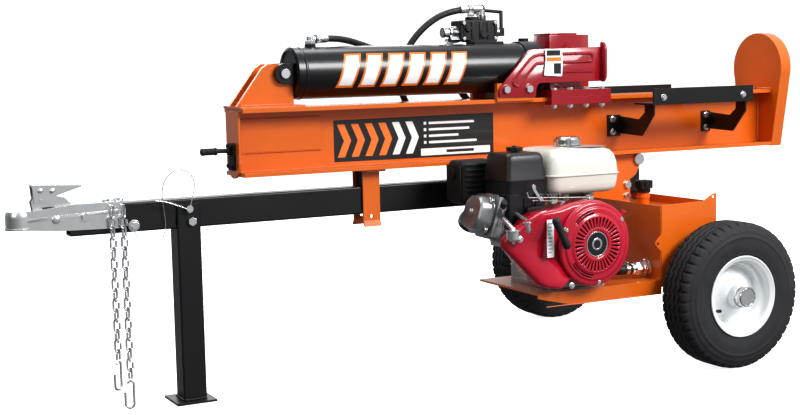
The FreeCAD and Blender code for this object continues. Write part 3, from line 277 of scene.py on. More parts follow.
def softened(points, radius, steps=4, closed=True):
    """An outline with its corners rounded by that radius, or less where an edge is short."""
    out = []
    count = len(points)
    for i, corner in enumerate(points):
        if not closed and i in (0, count - 1):
            out.append(corner)
            continue
        p = Vector(corner)
        before = Vector(points[i - 1]) - p
        after = Vector(points[(i + 1) % count]) - p
        back = min(radius, 0.45 * before.length, 0.45 * after.length)
        a = p + before.normalized() * back
        b = p + after.normalized() * back
        for k in range(steps + 1):
            t = k / steps
            out.append(tuple(a * (1 - t) ** 2 + p * (2 * t * (1 - t)) + b * t ** 2))
    return out


PLACE = {"x": lambda a, u, v: at(a, u, v), "y": lambda a, u, v: at(u, a, v), "z": lambda a, u,
         v: at(u, v, a)}


def slab(bm, outline, along, low, high, rounding=0.0, steps=2):
    """Extrude an outline in mm along x, y or z, and round the rims of its two faces."""
    place = PLACE[along]
    rings = [[bm.verts.new(place(a, *p)) for p in outline] for a in (low, high)]
    count = len(outline)
    ends = [bm.faces.new(ring) for ring in rings]
    rim = [edge for end in ends for edge in end.edges]
    for i in range(count):
        j = (i + 1) % count
        bm.faces.new((rings[0][i], rings[0][j], rings[1][j], rings[1][i]))
    if rounding:
        bmesh.ops.bevel(bm, geom=rim, offset=rounding * MM, segments=steps, affect="EDGES", profile=0.5)


def oblong(x0, x1, y0, y1, corner=3.0, steps=3):
    """A rectangle's outline with rounded corners."""
    return softened([(x0, y0), (x1, y0), (x1, y1), (x0, y1)], corner, steps)


def moved(outline, x, y):
    """An outline shifted so that its (0, 0) lies at x, y."""
    return [(u + x, v + y) for u, v in outline]


def lathe(bm, profile, base, way, turns=48, closed=False):
    """Turn a profile of (radius, distance along) in mm about a line from base, a point in mm."""
    way = Vector(way).normalized()
    across = way.cross(Vector((0, 0, 1)) if abs(way.z) < 0.9 else Vector((1, 0, 0))).normalized()
    other = way.cross(across)
    origin = at(*base)
    rings = []
    for radius, along in profile:
        centre = origin + way * (along * MM)
        if radius < 1e-6:
            rings.append([bm.verts.new(centre)])
            continue
        rings.append([bm.verts.new(centre + (across * math.cos(t) + other * math.sin(t)) * (radius * MM))
                      for t in (2 * math.pi * k / turns for k in range(turns))])
    pairs = list(zip(rings, rings[1:] + rings[:1])) if closed else list(zip(rings, rings[1:]))
    for first, second in pairs:
        for k in range(turns):
            n = (k + 1) % turns
            corners = [first[k % len(first)], first[n % len(first)], second[n % len(second)],
                       second[k % len(second)]]
            unique = list(dict.fromkeys(corners))
            if len(unique) > 2:
                bm.faces.new(unique)


def stem(bm, a, b, radius, turns=24, edge=0.8):
    """A round bar between two points in mm, with its end edges broken."""
    way = Vector(b) - Vector(a)
    run = way.length
    edge = min(edge, radius * 0.4, run * 0.3)
    lathe(bm, [(0, 0), (radius - edge, 0), (radius, edge), (radius, run - edge), (radius - edge, run),
               (0, run)],
          a, way, turns)


def hex_head(bm, centre, way, across, height, washer=0.0):
    """A hexagon head or nut with a chamfered crown, standing on a washer if one is asked for."""
    corner = across / math.sqrt(3)
    if washer:
        lathe(bm, [(0, 0), (washer - 0.4, 0), (washer, 0.5), (washer, 1.8), (washer - 0.5, 2.2), (0, 2.2)],
              centre, way, 32)
    up = 2.2 if washer else 0.0
    lathe(bm, [(0, up), (corner * 0.93, up), (corner, up + height * 0.12), (corner, up + height * 0.82),
               (corner * 0.88, up + height), (0, up + height)], centre, way, 6)


# A weld bead is a row of overlapping puddles; under paint it shows as even ripples.
def weld(name, points, radius, material, body, slot, closed=False):
    """A fillet bead along a route in mm, with a ripple every 5 mm."""
    bm = bmesh.new()
    route = [Vector(p) for p in points] + ([Vector(points[0])] if closed else [])
    for start, end in zip(route, route[1:]):
        span = (end - start).length
        count = max(2, int(span / 5))
        profile = []
        for k in range(count * 4 + 1):
            swell = 0.82 + 0.18 * abs(math.sin(math.pi * k / 4))
            profile.append((radius * swell, span * k / (count * 4)))
        lathe(bm, [(0, 0), *profile, (0, span)], start, end - start, 10)
    return keep(bm, name, material, body, slot, sharp=60)


# ---- coupler and latch: pressed steel shell and channel in clear zinc plate, riveted and bolted ----
# Zinc: bright grey metal with a faint spangle and slightly cloudy patches.
def zinc(name, light, dark, rough, spangle_mm, depth=0.02):
    material, tree, shader, place = surface(name, light, rough, 1.0)
    grains = add(tree, "ShaderNodeTexVoronoi", {"Vector": place, "Scale": every(spangle_mm)})
    cloud = add(tree, "ShaderNodeTexNoise", {"Vector": place, "Scale": every(45), "Detail": 6.0})
    both = add(tree, "ShaderNodeMath", {0: grains.outputs["Color"], 1: cloud.outputs["Fac"]},
               operation="MULTIPLY")
    shades(tree, shader, both.outputs["Value"], light, dark)
    shades(tree, shader, cloud.outputs["Fac"], rough * 0.75, rough * 1.3, "Roughness")
    relief(tree, shader, cloud.outputs["Fac"], depth, 1.0)
    return material


CLEAR_ZINC = zinc("clear_zinc_plated_pressing", "#eeefed", "#dfe1e2", 0.24, 30)
BRIGHT_ZINC = zinc("bright_zinc_plate", "#ececed", "#cfd1d3", 0.24, 4)
paint(CLEAR_ZINC, "coupler", "coupler_latch")
paint(BRIGHT_ZINC, "safety_chain_front", "safety_chain_rear", "safety_chain_anchor", "stand_pin",
      "pivot_pin", "frame_bolts", "beam_bolts", "slide_bolts")

bm = bmesh.new()
for x, z in ((-1799, 575), (-1770, 573)):
    for side in (-1, 1):
        lathe(bm, [(0, 5), (3.5, 4.6), (6, 3), (7, 0.6), (7, 0)], (x, side * 15.6, z), (0, side, 0), 20)
keep(bm, "latch_rivets", BRIGHT_ZINC, "latch", "zinc_plate")

bm = bmesh.new()
for side in (-1, 1):
    lathe(bm, [(0, 3), (8, 2.6), (10.5, 1), (11, 0)], (-1767, side * 28.4, 503), (0, side, 0), 24)
    rib = softened([(-1838, 500), (-1780, 503), (-1610, 511), (-1610, 519), (-1780, 512), (-1838, 508)], 4)
    slab(bm, rib, "y", side * 28.2 - 1.2, side * 28.2 + 1.2, 0.9)
lathe(bm, [(33.2, 0), (34.8, 0.6), (35, 2), (34, 3.6), (33.1, 3.2)], (-1851, 0, 484), (0, 0, 1), 64)
keep(bm, "coupler_pressed_ribs", CLEAR_ZINC, "chassis", "zinc_plate")


# ---- safety chains: welded steel links on one bolt through the drawbar, each ending in a hook ----
# Bright zinc plate. The links are the CAD solids; only the head of their bolt is added here.
bm = bmesh.new()
hex_head(bm, (-1572, -31.2, 474), (0, -1, 0), 19.4, 8, 14)
keep(bm, "chain_bolt_head", BRIGHT_ZINC, "chassis", "zinc_plate")


# ---- stand: channel post that folds about its pivot bolt, with a foot plate ----
# Black powder coat, like the drawbar. The plate is welded to the post along three sides.
FOOT_WELDS = (("", (-1459, -32.5, 8), (-1459, 32.5, 8)), ("_near", (-1458, -33, 8), (-1397, -33, 8)),
              ("_far", (-1458, 33, 8), (-1397, 33, 8)))
for word, start, end in FOOT_WELDS:
    weld("stand_foot_weld" + word, [start, end], 2.6, BLACK, "stand", "black_enamel")


# ---- tyres: bias-ply trailer tyres with zigzag ribs and slit shoulders ----
# Cured rubber: dark grey, dull, with mould rings on the wall and dust in the tread.
WHEEL_Y = 452.0
WHEEL_Z = 205.0
TREAD_PITCHES = 46
STEPS = 6


def tyre_rubber():
    material, tree, shader, place = surface("cured_tyre_rubber", "#232325", 0.74,
                                            more={"Specular IOR Level": 0.35})
    dust = add(tree, "ShaderNodeTexNoise", {"Vector": place, "Scale": every(55), "Detail": 9.0,
                                            "Roughness": 0.65})
    shades(tree, shader, dust.outputs["Fac"], "#1d1d1f", "#3b3b3e")
    shades(tree, shader, dust.outputs["Fac"], 0.6, 0.85, "Roughness")
    grain = add(tree, "ShaderNodeTexNoise", {"Vector": place, "Scale": every(2.2), "Detail": 4.0})
    relief(tree, shader, grain.outputs["Fac"], 0.25)
    return material


def tyre_section():
    """Points of (offset from the middle, radius, zigzag share, depth of the slits) from bead to bead."""
    wall = [(-47.5, 102, 0, 0), (-50, 108, 0, 0), (-53, 113.5, 0, 0), (-53.6, 117, 0, 0),
            (-55.2, 118.5, 0, 0),
            (-55.4, 122, 0, 0), (-57, 128, 0, 0), (-58.6, 138, 0, 0), (-59, 149, 0, 0), (-58.4, 158, 0, 0),
            (-58.2, 163, 0, 0), (-58.8, 164, 0, 0), (-58.6, 167, 0, 0), (-57.6, 168, 0, 0),
            (-56.2, 177, 0, 0),
            (-55.6, 183, 0, 0), (-54.6, 184, 0, 1.2), (-53, 190, 0, 2.4), (-51, 195, 0, 4),
            (-48, 199, 0, 5),
            (-44, 202, 0, 5.5), (-40, 203.2, 0.3, 5.5), (-34, 203.8, 0.7, 4)]
    tread = []
    for groove in (-29, -10, 10, 29):
        tread += [(groove - 2.6, 204.4, 1, 0), (groove - 1.6, 197, 1, 0), (groove + 1.6, 197, 1, 0),
                  (groove + 2.6, 204.5, 1, 0)]
        if groove < 29:
            tread += [(groove + 6.5, 204.8, 1, 0), (groove + 12.5, 204.8, 1, 0)]
    return wall + tread + [(-y, r, zig, slit) for y, r, zig, slit in reversed(wall)]


def tyre(name, sign, body, node):
    bm = bmesh.new()
    section = tyre_section()
    turns = TREAD_PITCHES * STEPS
    rings = []
    for k in range(turns):
        t = 2 * math.pi * k / turns
        phase = (k % STEPS) / STEPS
        zigzag = 3.4 * (4 * abs(phase - 0.5) - 1)
        ring = []
        for y, r, share, slit in section:
            flip = 1 if y > 0 else 0
            cut_here = (k + flip * 3) % STEPS == 0
            radius = r - (slit if cut_here else 0)
            ring.append(bm.verts.new(at(radius * math.sin(t), sign * (WHEEL_Y + y + share * zigzag),
                                        WHEEL_Z + radius * math.cos(t))))
        rings.append(ring)
    for first, second in zip(rings, rings[1:] + rings[:1]):
        for i in range(len(section) - 1):
            bm.faces.new((first[i], first[i + 1], second[i + 1], second[i]))
    return keep(bm, name, TYRE, body, "tyre_rubber", node, sharp=42)


TYRE = tyre_rubber()
tyre("near_tyre", -1, "wheel_near", "tyre_near")
tyre("far_tyre", 1, "wheel_far", "tyre_far")


# ---- rims: two pressed steel halves welded to a hub tube, in white stoving enamel ----
# Thick white enamel: glossy, with painted shade darkening it a little at every pressed corner.
RIM_WHITE = enamel("white_stove_enamel", "#e9eced", "#dfe2e3", 0.24, 4, 0.04, 0.4)
STEEL = zinc("machined_steel", "#c9cacb", "#8f9092", 0.28, 2.5)
paint(STEEL, "wheel_bearings_near", "wheel_bearings_far")


def rim(name, sign, body, node, cap_node):
    half = [(101, 48.6), (109.5, 50.6), (113, 53), (114, 56), (112.6, 58.2), (109, 57.6), (105, 54.5),
            (99, 52), (97.6, 47), (97.4, 38), (96, 33), (88, 27), (85, 21), (84.6, 12), (83, 6), (76, 3.4),
            (64, 6.5), (52, 14.5), (44, 22), (38, 27), (33, 29.5), (31.9, 33), (31.9, 51.2), (30.6, 52),
            (27, 52)]
    back = [(27, -28), (31.6, -28), (31.8, -2), (52, 10), (64, 2), (76, -1), (83, -4), (85, -14), (96, -30),
            (97.4, -36), (97.6, -47), (99, -52), (105, -54.5), (109, -57.6), (112.6, -58.2), (114, -56),
            (113, -53), (109.5, -50.6), (101, -48.6), (101, -34), (90, -24), (89, 22), (101, 36)]
    bm = bmesh.new()
    lathe(bm, softened(half + back, 2.2, 3), (0, sign * WHEEL_Y, WHEEL_Z), (0, sign, 0), 96, closed=True)
    keep(bm, name + "_rim", RIM_WHITE, body, "rim_white", node, sharp=50)
    bm = bmesh.new()
    side = math.radians(-118)
    foot = (90 * math.sin(side), sign * (WHEEL_Y + 9), WHEEL_Z + 90 * math.cos(side))
    out = (-math.sin(side) * 0.35, sign * 0.9, -math.cos(side) * 0.35)
    lathe(bm, [(0, 0), (7.4, 0), (7.8, 4), (4.6, 7), (4.3, 24), (4.6, 25), (4.6, 34), (3.8, 36), (0, 36)],
          foot, out, 24)
    keep(bm, name + "_tyre_valve", HOSE, body, "black_rubber")
    bm = bmesh.new()
    lathe(bm, [(25.5, -4), (28.4, -3), (28.8, 0), (28.2, 1.5), (28.2, 15), (29, 17), (28.6, 21), (26, 23.6),
               (24.2, 23), (23.6, 21.4), (0, 21)], (0, sign * 504, WHEEL_Z), (0, sign, 0), 64)
    keep(bm, name + "_dust_cap", CHROME, body, "zinc_plate", cap_node, sharp=50)


def chrome():
    # Bright nickel-chrome: a near mirror with faint buffing haze.
    material, tree, shader, place = surface("bright_chrome_plate", "#dfe1e3", 0.07, 1.0)
    haze = add(tree, "ShaderNodeTexNoise", {"Vector": place, "Scale": every(25), "Detail": 7.0})
    shades(tree, shader, haze.outputs["Fac"], 0.05, 0.16, "Roughness")
    shades(tree, shader, haze.outputs["Fac"], "#c9cbcd", "#eceeef")
    relief(tree, shader, haze.outputs["Fac"], 0.01, 0.8)
    return material


CHROME = chrome()
rim("near", -1, "wheel_near", "rim_near", "hub_cap_near")
rim("far", 1, "wheel_far", "rim_far", "hub_cap_far")


# ---- oil tank: folded steel box between the wheels, its side plates standing up as mudguard ears ----
# Orange gloss enamel over mild steel, the machine's main colour.
ORANGE = enamel("orange_gloss_enamel", "#d9691a", "#ec8a4a", 0.24, 3.5, 0.05, 0.35)
paint(ORANGE, "tank", "pivot_bracket", "engine_platform", "beam", "foot_plate", "beam_saddle")
TANK_FRONT, TANK_HALF = -177, 374
SEAM_X = TANK_FRONT - 0.5
for side, word in ((-1, "near"), (1, "far")):
    seam_y = side * (TANK_HALF - 4)
    weld("tank_front_weld_" + word, [(SEAM_X, seam_y, 236), (SEAM_X, seam_y, 452)], 2.2, ORANGE, "chassis",
         "orange_enamel")
weld("tank_floor_weld", [(TANK_FRONT - 1, -366, 251.5), (TANK_FRONT - 1, -76, 251.5)], 2.4, ORANGE,
     "chassis",
     "orange_enamel")

bm = bmesh.new()
lathe(bm, [(16, 0), (20.5, 0.4), (21, 2.2), (18.4, 3.6), (17.6, 6)], (-106, -200, 436), (0, 0, 1), 48)
keep(bm, "filler_neck_weld", ORANGE, "chassis", "orange_enamel")


# ---- filler cap: moulded phenolic knob with eight flutes and a vented top ----
# Glossy black moulding with a fine spark-eroded texture on its grip.
def moulding(name, code, rough, grain_mm=1.0, depth=0.06, second=None):
    material, tree, shader, place = surface(name, code, rough)
    grain = add(tree, "ShaderNodeTexNoise", {"Vector": place, "Scale": every(grain_mm), "Detail": 3.0})
    cloud = add(tree, "ShaderNodeTexNoise", {"Vector": place, "Scale": every(70), "Detail": 4.0})
    shades(tree, shader, cloud.outputs["Fac"], code, second or code)
    shades(tree, shader, cloud.outputs["Fac"], rough * 0.85, min(1.0, rough * 1.2), "Roughness")
    relief(tree, shader, grain.outputs["Fac"], depth, 1.0)
    return material


BLACK_PLASTIC = moulding("black_moulded_plastic", "#121214", 0.34, 1.2, 0.05, "#1b1b1e")
RUBBER = moulding("black_moulded_rubber", "#161617", 0.6, 0.9, 0.12, "#1f1f21")


def fluted(flutes, radius, depth, share=0.5, start=0.0):
    """An outline round (0, 0) with flutes cut into it."""
    points = []
    steps = 8
    for k in range(flutes * steps):
        phase = (k % steps) / steps
        dip = math.sin(math.pi * phase / share) if phase < share else 0.0
        t = start + 2 * math.pi * k / (flutes * steps)
        points.append(((radius - depth * dip) * math.cos(t), (radius - depth * dip) * math.sin(t)))
    return points


NECK = (-106, -200)
bm = bmesh.new()
lathe(bm, [(17.5, 478), (20.2, 478), (20.5, 479), (20.5, 492), (0, 492)], (*NECK, 0), (0, 0, 1), 48)
slab(bm, moved(fluted(8, 27, 3.2, 0.45), *NECK), "z", 490.5, 512.5, 2.0, 3)
lathe(bm, [(0, 514), (13, 514), (16, 513.4), (17.5, 511.5)], (*NECK, 0), (0, 0, 1), 40)
keep(bm, "oil_filler_knob", BLACK_PLASTIC, "oil_cap", "black_plastic", "filler_cap", sharp=40)


# ---- suction fitting: plated hexagon nipple and swivel on the tank's front, hose clip on the barb ----
# Bright zinc plate over turned steel; the clip is a steel band with a worm screw.
bm = bmesh.new()
SUCTION_Y, SUCTION_Z = -310, 278
lathe(bm, [(12, 7), (24, 6), (24, 1.5), (22, 0), (12, 0)], (TANK_FRONT - 7, SUCTION_Y, SUCTION_Z),
      (1, 0, 0), 48)
hex_head(bm, (TANK_FRONT - 7, SUCTION_Y, SUCTION_Z), (-1, 0, 0), 40, 13)
lathe(bm, [(15, 18), (18.5, 18.5), (18.5, 21), (15, 22)], (TANK_FRONT, SUCTION_Y, SUCTION_Z), (-1, 0, 0),
      40)
hex_head(bm, (TANK_FRONT - 21, SUCTION_Y, SUCTION_Z), (-1, 0, 0), 36, 26)
lathe(bm, [(13, 44), (16.4, 46), (16.4, 56), (15, 59), (12, 59)], (TANK_FRONT, SUCTION_Y, SUCTION_Z),
      (-1, 0, 0), 40)
keep(bm, "suction_fitting", BRIGHT_ZINC, "chassis", "chrome", sharp=30)


def clip_band(name, centre, way, radius, body):
    """A worm-drive hose clip: slotted steel band with its screw housing."""
    bm = bmesh.new()
    lathe(bm, [(radius, 0), (radius + 0.9, 0.3), (radius + 0.9, 11.7), (radius, 12)], centre, way, 40)
    top = Vector(centre) + Vector(way).normalized() * 6 + Vector((0, 0, radius + 4))
    stem(bm, tuple(top - Vector((0, 9, 0))), tuple(top + Vector((0, 9, 0))), 4.2, 16)
    return keep(bm, name, BRIGHT_ZINC, body, "zinc_plate")


clip_band("suction_hose_clip", (-244, SUCTION_Y, SUCTION_Z), (-1, 0, 0), 14.2, "chassis")


# ---- return filter: spin-on canister on a cast head ----
# White enamelled steel can over a die-cast aluminium head, screwed to the tank.
FILTER_WHITE = enamel("filter_can_enamel", "#cfd0cf", "#e4e4e2", 0.3, 4, 0.03, 0.3)
FILTER_X, FILTER_Y = -96, 312
bm = bmesh.new()
lathe(bm, [(40, 495), (45.5, 496), (46, 498), (46, 503), (44.6, 505), (44.6, 608), (43, 613), (38, 617),
           (20, 619.6), (0, 619.8)], (FILTER_X, FILTER_Y, 0), (0, 0, 1), 72)
slab(bm, moved(fluted(14, 43.6, 2.4, 0.6), FILTER_X, FILTER_Y), "z", 596, 609, 1.0)
keep(bm, "return_filter_can", FILTER_WHITE, "chassis", "filter_white", sharp=40)


def cast_alloy(name, light, dark, rough, grain_mm=1.4, depth=0.12):
    # Die-cast aluminium: grey, matt, with a sandy skin.
    material, tree, shader, place = surface(name, light, rough, 0.85)
    skin = add(tree, "ShaderNodeTexNoise", {"Vector": place, "Scale": every(grain_mm), "Detail": 5.0})
    stain = add(tree, "ShaderNodeTexNoise", {"Vector": place, "Scale": every(38), "Detail": 6.0})
    shades(tree, shader, stain.outputs["Fac"], dark, light)
    shades(tree, shader, stain.outputs["Fac"], rough * 1.2, rough * 0.8, "Roughness")
    relief(tree, shader, skin.outputs["Fac"], depth, 1.2)
    return material


ALLOY = cast_alloy("die_cast_aluminium", "#c6c8ca", "#9a9c9e", 0.5)
bm = bmesh.new()
lathe(bm, [(0, 434.5), (22, 434.5), (22, 437), (15, 440), (14, 444), (14, 463)], (FILTER_X, FILTER_Y, 0),
      (0, 0, 1), 40)
slab(bm, moved(oblong(-42, 42, -42, 42, 12), FILTER_X, FILTER_Y), "z", 463, 494, 3)
lathe(bm, [(0, 42), (14, 42), (14, 46), (12, 47), (12, 60.4), (0, 60.4)], (FILTER_X, FILTER_Y, 479),
      (1, 0, 0), 32)
keep(bm, "return_filter_head", ALLOY, "chassis", "cast_aluminium", "return_filter", sharp=35)


# ---- engine: crankcase, mounting feet and finned cylinder cast as one, bolted to its shelf ----
# Die-cast aluminium for the block, pump and carburettor; plated steel bolts and machined shafts.
CRANK_X, CRANK_Z = -436, 378
paint(ALLOY, "engine_block", "pump_mount", "hydraulic_pump", "carburettor")
paint(STEEL, "crankshaft")

bm = bmesh.new()
for z in range(296, 372, 15):
    slab(bm, oblong(-533, -526, -338, -150, 1.5), "z", z, z + 5, 1.2)
for x in (-516, -362):
    hex_head(bm, (x, -324, 264), (0, 0, 1), 16, 7, 10)
lathe(bm, [(0, 0), (17, 0), (17, 4), (13, 6), (13, 14), (0, 14)], (-528, -250, 300), (-1, 0, 0), 32)
stem(bm, (-532, -318, 306), (-560, -318, 312), 9, 24, 2)
keep(bm, "crankcase_ribs_and_plugs", ALLOY, "chassis", "cast_aluminium", sharp=40)

bm = bmesh.new()
for x, y, z in ((-523, -342, 300), (-523, -342, 400), (-350, -342, 290)):
    hex_head(bm, (x, y - 1, z), (0, -1, 0), 12, 6, 8)
keep(bm, "crankcase_side_bolts", BRIGHT_ZINC, "chassis", "zinc_plate")


# ---- valve cover: pressed lid on the end of the cylinder head, held by corner bolts and a stud ----
# Pressed sheet in silver lacquer, bright and slightly uneven.
COVER_SILVER = cast_alloy("silver_lacquered_pressing", "#b4b5b6", "#8d8e90", 0.34, 2.5, 0.05)
TILT = math.radians(17)
cylinder_way = Vector((-math.cos(TILT), 0, math.sin(TILT)))
cylinder_up = Vector((math.sin(TILT), 0, math.cos(TILT)))
cylinder_root = Vector((CRANK_X, -250, CRANK_Z + 6))


def on_cylinder(out, across, up):
    """A point in mm: out along the cylinder's axis, across along Y, up square to both."""
    return tuple(cylinder_root + cylinder_way * out + cylinder_up * up + Vector((0, across, 0)))


def lofted(bm, outlines):
    """Join closed outlines of equal count, given as lists of points in mm, and cap both ends."""
    rings = [[bm.verts.new(at(*p)) for p in outline] for outline in outlines]
    for first, second in zip(rings, rings[1:]):
        for i in range(len(first)):
            j = (i + 1) % len(first)
            bm.faces.new((first[i], first[j], second[j], second[i]))
    bm.faces.new(rings[0])
    bm.faces.new(rings[-1])


octagon = [(-50, -26), (-28, -50), (28, -50), (50, -26), (50, 26), (28, 50), (-28, 50), (-50, 26)]
bm = bmesh.new()
levels = [(255.8, 1.1, 8), (259, 1.1, 8), (260, 1.0, 8), (262, 0.97, 9), (280, 0.93, 12), (287, 0.89, 14),
          (291, 0.8, 16), (292, 0.66, 14), (292, 0.3, 6)]
lofted(bm, [[on_cylinder(out, p[0], p[1]) for p in softened([(x * s, z * s) for x, z in octagon], r, 4)]
            for out, s, r in levels])
keep(bm, "pressed_valve_cover", COVER_SILVER, "chassis", "cast_aluminium", "valve_cover", sharp=28)
bm = bmesh.new()
for y, z in ((-44, 40), (44, 40), (-44, -40), (44, -40)):
    hex_head(bm, on_cylinder(259, y, z), cylinder_way, 10, 5, 7)
hex_head(bm, on_cylinder(291, 0, 0), cylinder_way, 12, 6, 9)
keep(bm, "valve_cover_bolts", BRIGHT_ZINC, "chassis", "zinc_plate")

bm = bmesh.new()
for out in (214, 222, 230, 238):
    lofted(bm, [[on_cylinder(o, p[0], p[1]) for p in softened([(x * 1.2, z * 1.2) for x, z in octagon], 8,
                                                              3)]
                for o in (out, out + 3)])
stem(bm, on_cylinder(236, -58, 8), on_cylinder(252, -86, 30), 10, 24, 2)
keep(bm, "cylinder_head_fins", ALLOY, "chassis", "cast_aluminium")
bm = bmesh.new()
stem(bm, on_cylinder(250, -84, 28), on_cylinder(258, -98, 42), 9, 24, 2)
keep(bm, "spark_plug_cap", RUBBER, "chassis", "black_rubber")


# ---- cooling shroud: deep-drawn steel shell from the fan to the cylinder, gloss red ----
# Red two-pack gloss: deep colour, sharp reflections on the drawn edges, with a painted highlight lightening
# those edges too.
ENGINE_RED = enamel("red_gloss_enamel", "#b50f2e", "#d8506a", 0.2, 4, 0.03, 0.5)
# A near-black material whose darkness is painted shade for the inside of the shroud.
DARK_INSIDE = moulding("painted_shade_black_steel", "#0b0b0c", 0.6, 2.0, 0.04)
SHROUD_FACE, SHROUD_BACK = -415, -345


def shroud_outline(radius):
    arc = []
    for degrees in range(-128, 96, 7):
        t = math.radians(degrees)
        arc.append((CRANK_X + radius * math.cos(t), CRANK_Z + radius * math.sin(t)))
    return arc + [(-500, 488), (-540, 478), (-600, 470), (-622, 456), (-684, 402), (-686, 384), (-606, 282),
                  (-586, 272), (-540, 262)]


def inset(outline, by, centre=(-470, 378)):
    """Draw every point of an outline towards a centre by a distance."""
    c = Vector(centre)
    return [tuple(c + (Vector(p) - c) * (1 - by / (Vector(p) - c).length)) for p in outline]


def sloped(p, y):
    """The shroud's front falls back towards the cylinder left of a fold line."""
    back = max(0.0, -588 - p[0]) * 0.55
    return (p[0], min(SHROUD_BACK - 3, y + back), p[1])


rim_line = shroud_outline(116)
bm = bmesh.new()
rounds = [(0, SHROUD_BACK), (0, SHROUD_FACE + 14), (0.8, SHROUD_FACE + 8), (3, SHROUD_FACE + 3.5),
          (6.5, SHROUD_FACE + 0.8), (10, SHROUD_FACE)]
shells = [[bm.verts.new(at(*sloped(p, y))) for p in (inset(rim_line, by) if by else rim_line)] for by,
          y in rounds]
mouth_ring = [bm.verts.new(at(CRANK_X + 96 * math.cos(t), SHROUD_FACE, CRANK_Z + 96 * math.sin(t)))
              for t in (math.atan2(p[1] - CRANK_Z, p[0] - CRANK_X) for p in rim_line)]
fold_ring = []
for p in inset(rim_line, 18):
    fold_ring.append(bm.verts.new(at(*sloped(p, SHROUD_FACE))))
for first, second in zip(shells + [fold_ring], shells[1:] + [fold_ring, mouth_ring]):
    for i in range(len(first)):
        j = (i + 1) % len(first)
        bm.faces.new((first[i], first[j], second[j], second[i]))
shroud = keep(bm, "cooling_shroud", ENGINE_RED, "chassis", "engine_red", "blower_housing", sharp=32)
wall = shroud.modifiers.new("sheet", "SOLIDIFY")
wall.thickness = 1.6 * MM
wall.offset = -1

bm = bmesh.new()
hex_head(bm, (-652, -392, 404), (0, -1, 0), 12, 5, 9)
hex_head(bm, (-508, SHROUD_FACE - 0.5, 272), (0, -1, 0), 12, 5, 9)
hex_head(bm, (-428, -380, 496), (0, 0, 1), 10, 5, 8)
for k in range(3):
    t = math.radians(35 + 120 * k)
    hex_head(bm, (CRANK_X + 103 * math.cos(t), SHROUD_FACE - 7, CRANK_Z + 103 * math.sin(t)), (0, -1, 0),
             10, 5, 8)
keep(bm, "shroud_bolts", BRIGHT_ZINC, "chassis", "zinc_plate")
bm = bmesh.new()
stem(bm, (-330, -380, 430), (-316, -388, 456), 8, 24, 1.5)
slab(bm, oblong(-346, -322, 424, 446, 5), "y", -384, -376, 1.5)
keep(bm, "shroud_lug", ENGINE_RED, "chassis", "engine_red")


# ---- starter cover: drawn steel drum with radial air slots and a plain badge in the middle ----
# Gloss red like the shroud. The badge is black plastic with two chromed rings.
RECOIL_FACE = -432


def polar_sheet(bm, rings, turns, hole):
    """A turned sheet of (radius, y) rings with the cells left out where hole(radius, degrees) says."""
    grid = []
    for radius, y in rings:
        grid.append([bm.verts.new(at(CRANK_X + radius * math.cos(t), y, CRANK_Z + radius * math.sin(t)))
                     for t in (2 * math.pi * k / turns for k in range(turns))])
    for a in range(len(rings) - 1):
        middle = (rings[a][0] + rings[a + 1][0]) / 2
        for k in range(turns):
            if hole(middle, 360 * (k + 0.5) / turns):
                continue
            n = (k + 1) % turns
            bm.faces.new((grid[a][k], grid[a][n], grid[a + 1][n], grid[a + 1][k]))


def air_slots(radius, degrees):
    """36 radial slots round the badge, and three arcs of louvres at the upper left and at the foot."""
    radial = 44.5 < radius < 72.5 and degrees % 10 < 4.4
    louvres = (95 < degrees < 138 or 212 < degrees < 262) and any(r < radius < r + 3.4 for r in (82, 88.5))
    return radial or louvres


drum = [(111, SHROUD_FACE + 1), (111, -419), (109.5, -421.5), (107, -422.6), (101, -423), (98.5, -423.5),
        (96.6, -425), (95.6, -426.6), (94, -427.4), (91.8, -427.6), (88.5, -427.8), (85.4, -428),
        (82, -428.2),
        (79, -429), (77, -430.6), (75, -431.6), (72, RECOIL_FACE), (63, RECOIL_FACE), (54, RECOIL_FACE),
        (45, RECOIL_FACE), (41, RECOIL_FACE), (38, -431.4), (36.5, -430), (36, -429), (20, -429), (8, -429)]
bm = bmesh.new()
polar_sheet(bm, drum, 180, air_slots)
cover = keep(bm, "starter_cover_drum", ENGINE_RED, "chassis", "engine_red", "recoil_cover", sharp=38)
wall = cover.modifiers.new("sheet", "SOLIDIFY")
wall.thickness = 1.8 * MM
wall.offset = 1

bm = bmesh.new()
lathe(bm, [(0, 0), (33.6, 0), (34, 0.8), (33, 2), (0, 2.4)], (CRANK_X, -429, CRANK_Z), (0, -1, 0), 72)
keep(bm, "starter_badge_plate", BLACK_PLASTIC, "chassis", "black_plastic")
bm = bmesh.new()
lathe(bm, [(31, 2), (33.4, 2.2), (34.2, 1), (33.8, 2.9), (31.2, 2.9)], (CRANK_X, -429, CRANK_Z), (0, -1, 0),
      72,
      closed=True)
lathe(bm, [(11, 2.2), (16, 2.2), (16.4, 2.8), (15.6, 3.2), (11.4, 3.2)], (CRANK_X, -429, CRANK_Z),
      (0, -1, 0), 72,
      closed=True)
keep(bm, "starter_badge_rings", CHROME, "chassis", "chrome")

# The fan screen behind the starter's slots, a near-black disc that is partly the real dark screen and
# partly painted shade inside the shroud.
bm = bmesh.new()
lathe(bm, [(0, 0), (84, 0), (84, 3), (0, 3)], (CRANK_X, -411, CRANK_Z), (0, -1, 0), 64)
keep(bm, "fan_screen_painted_shade", DARK_INSIDE, "chassis", "dark_steel")


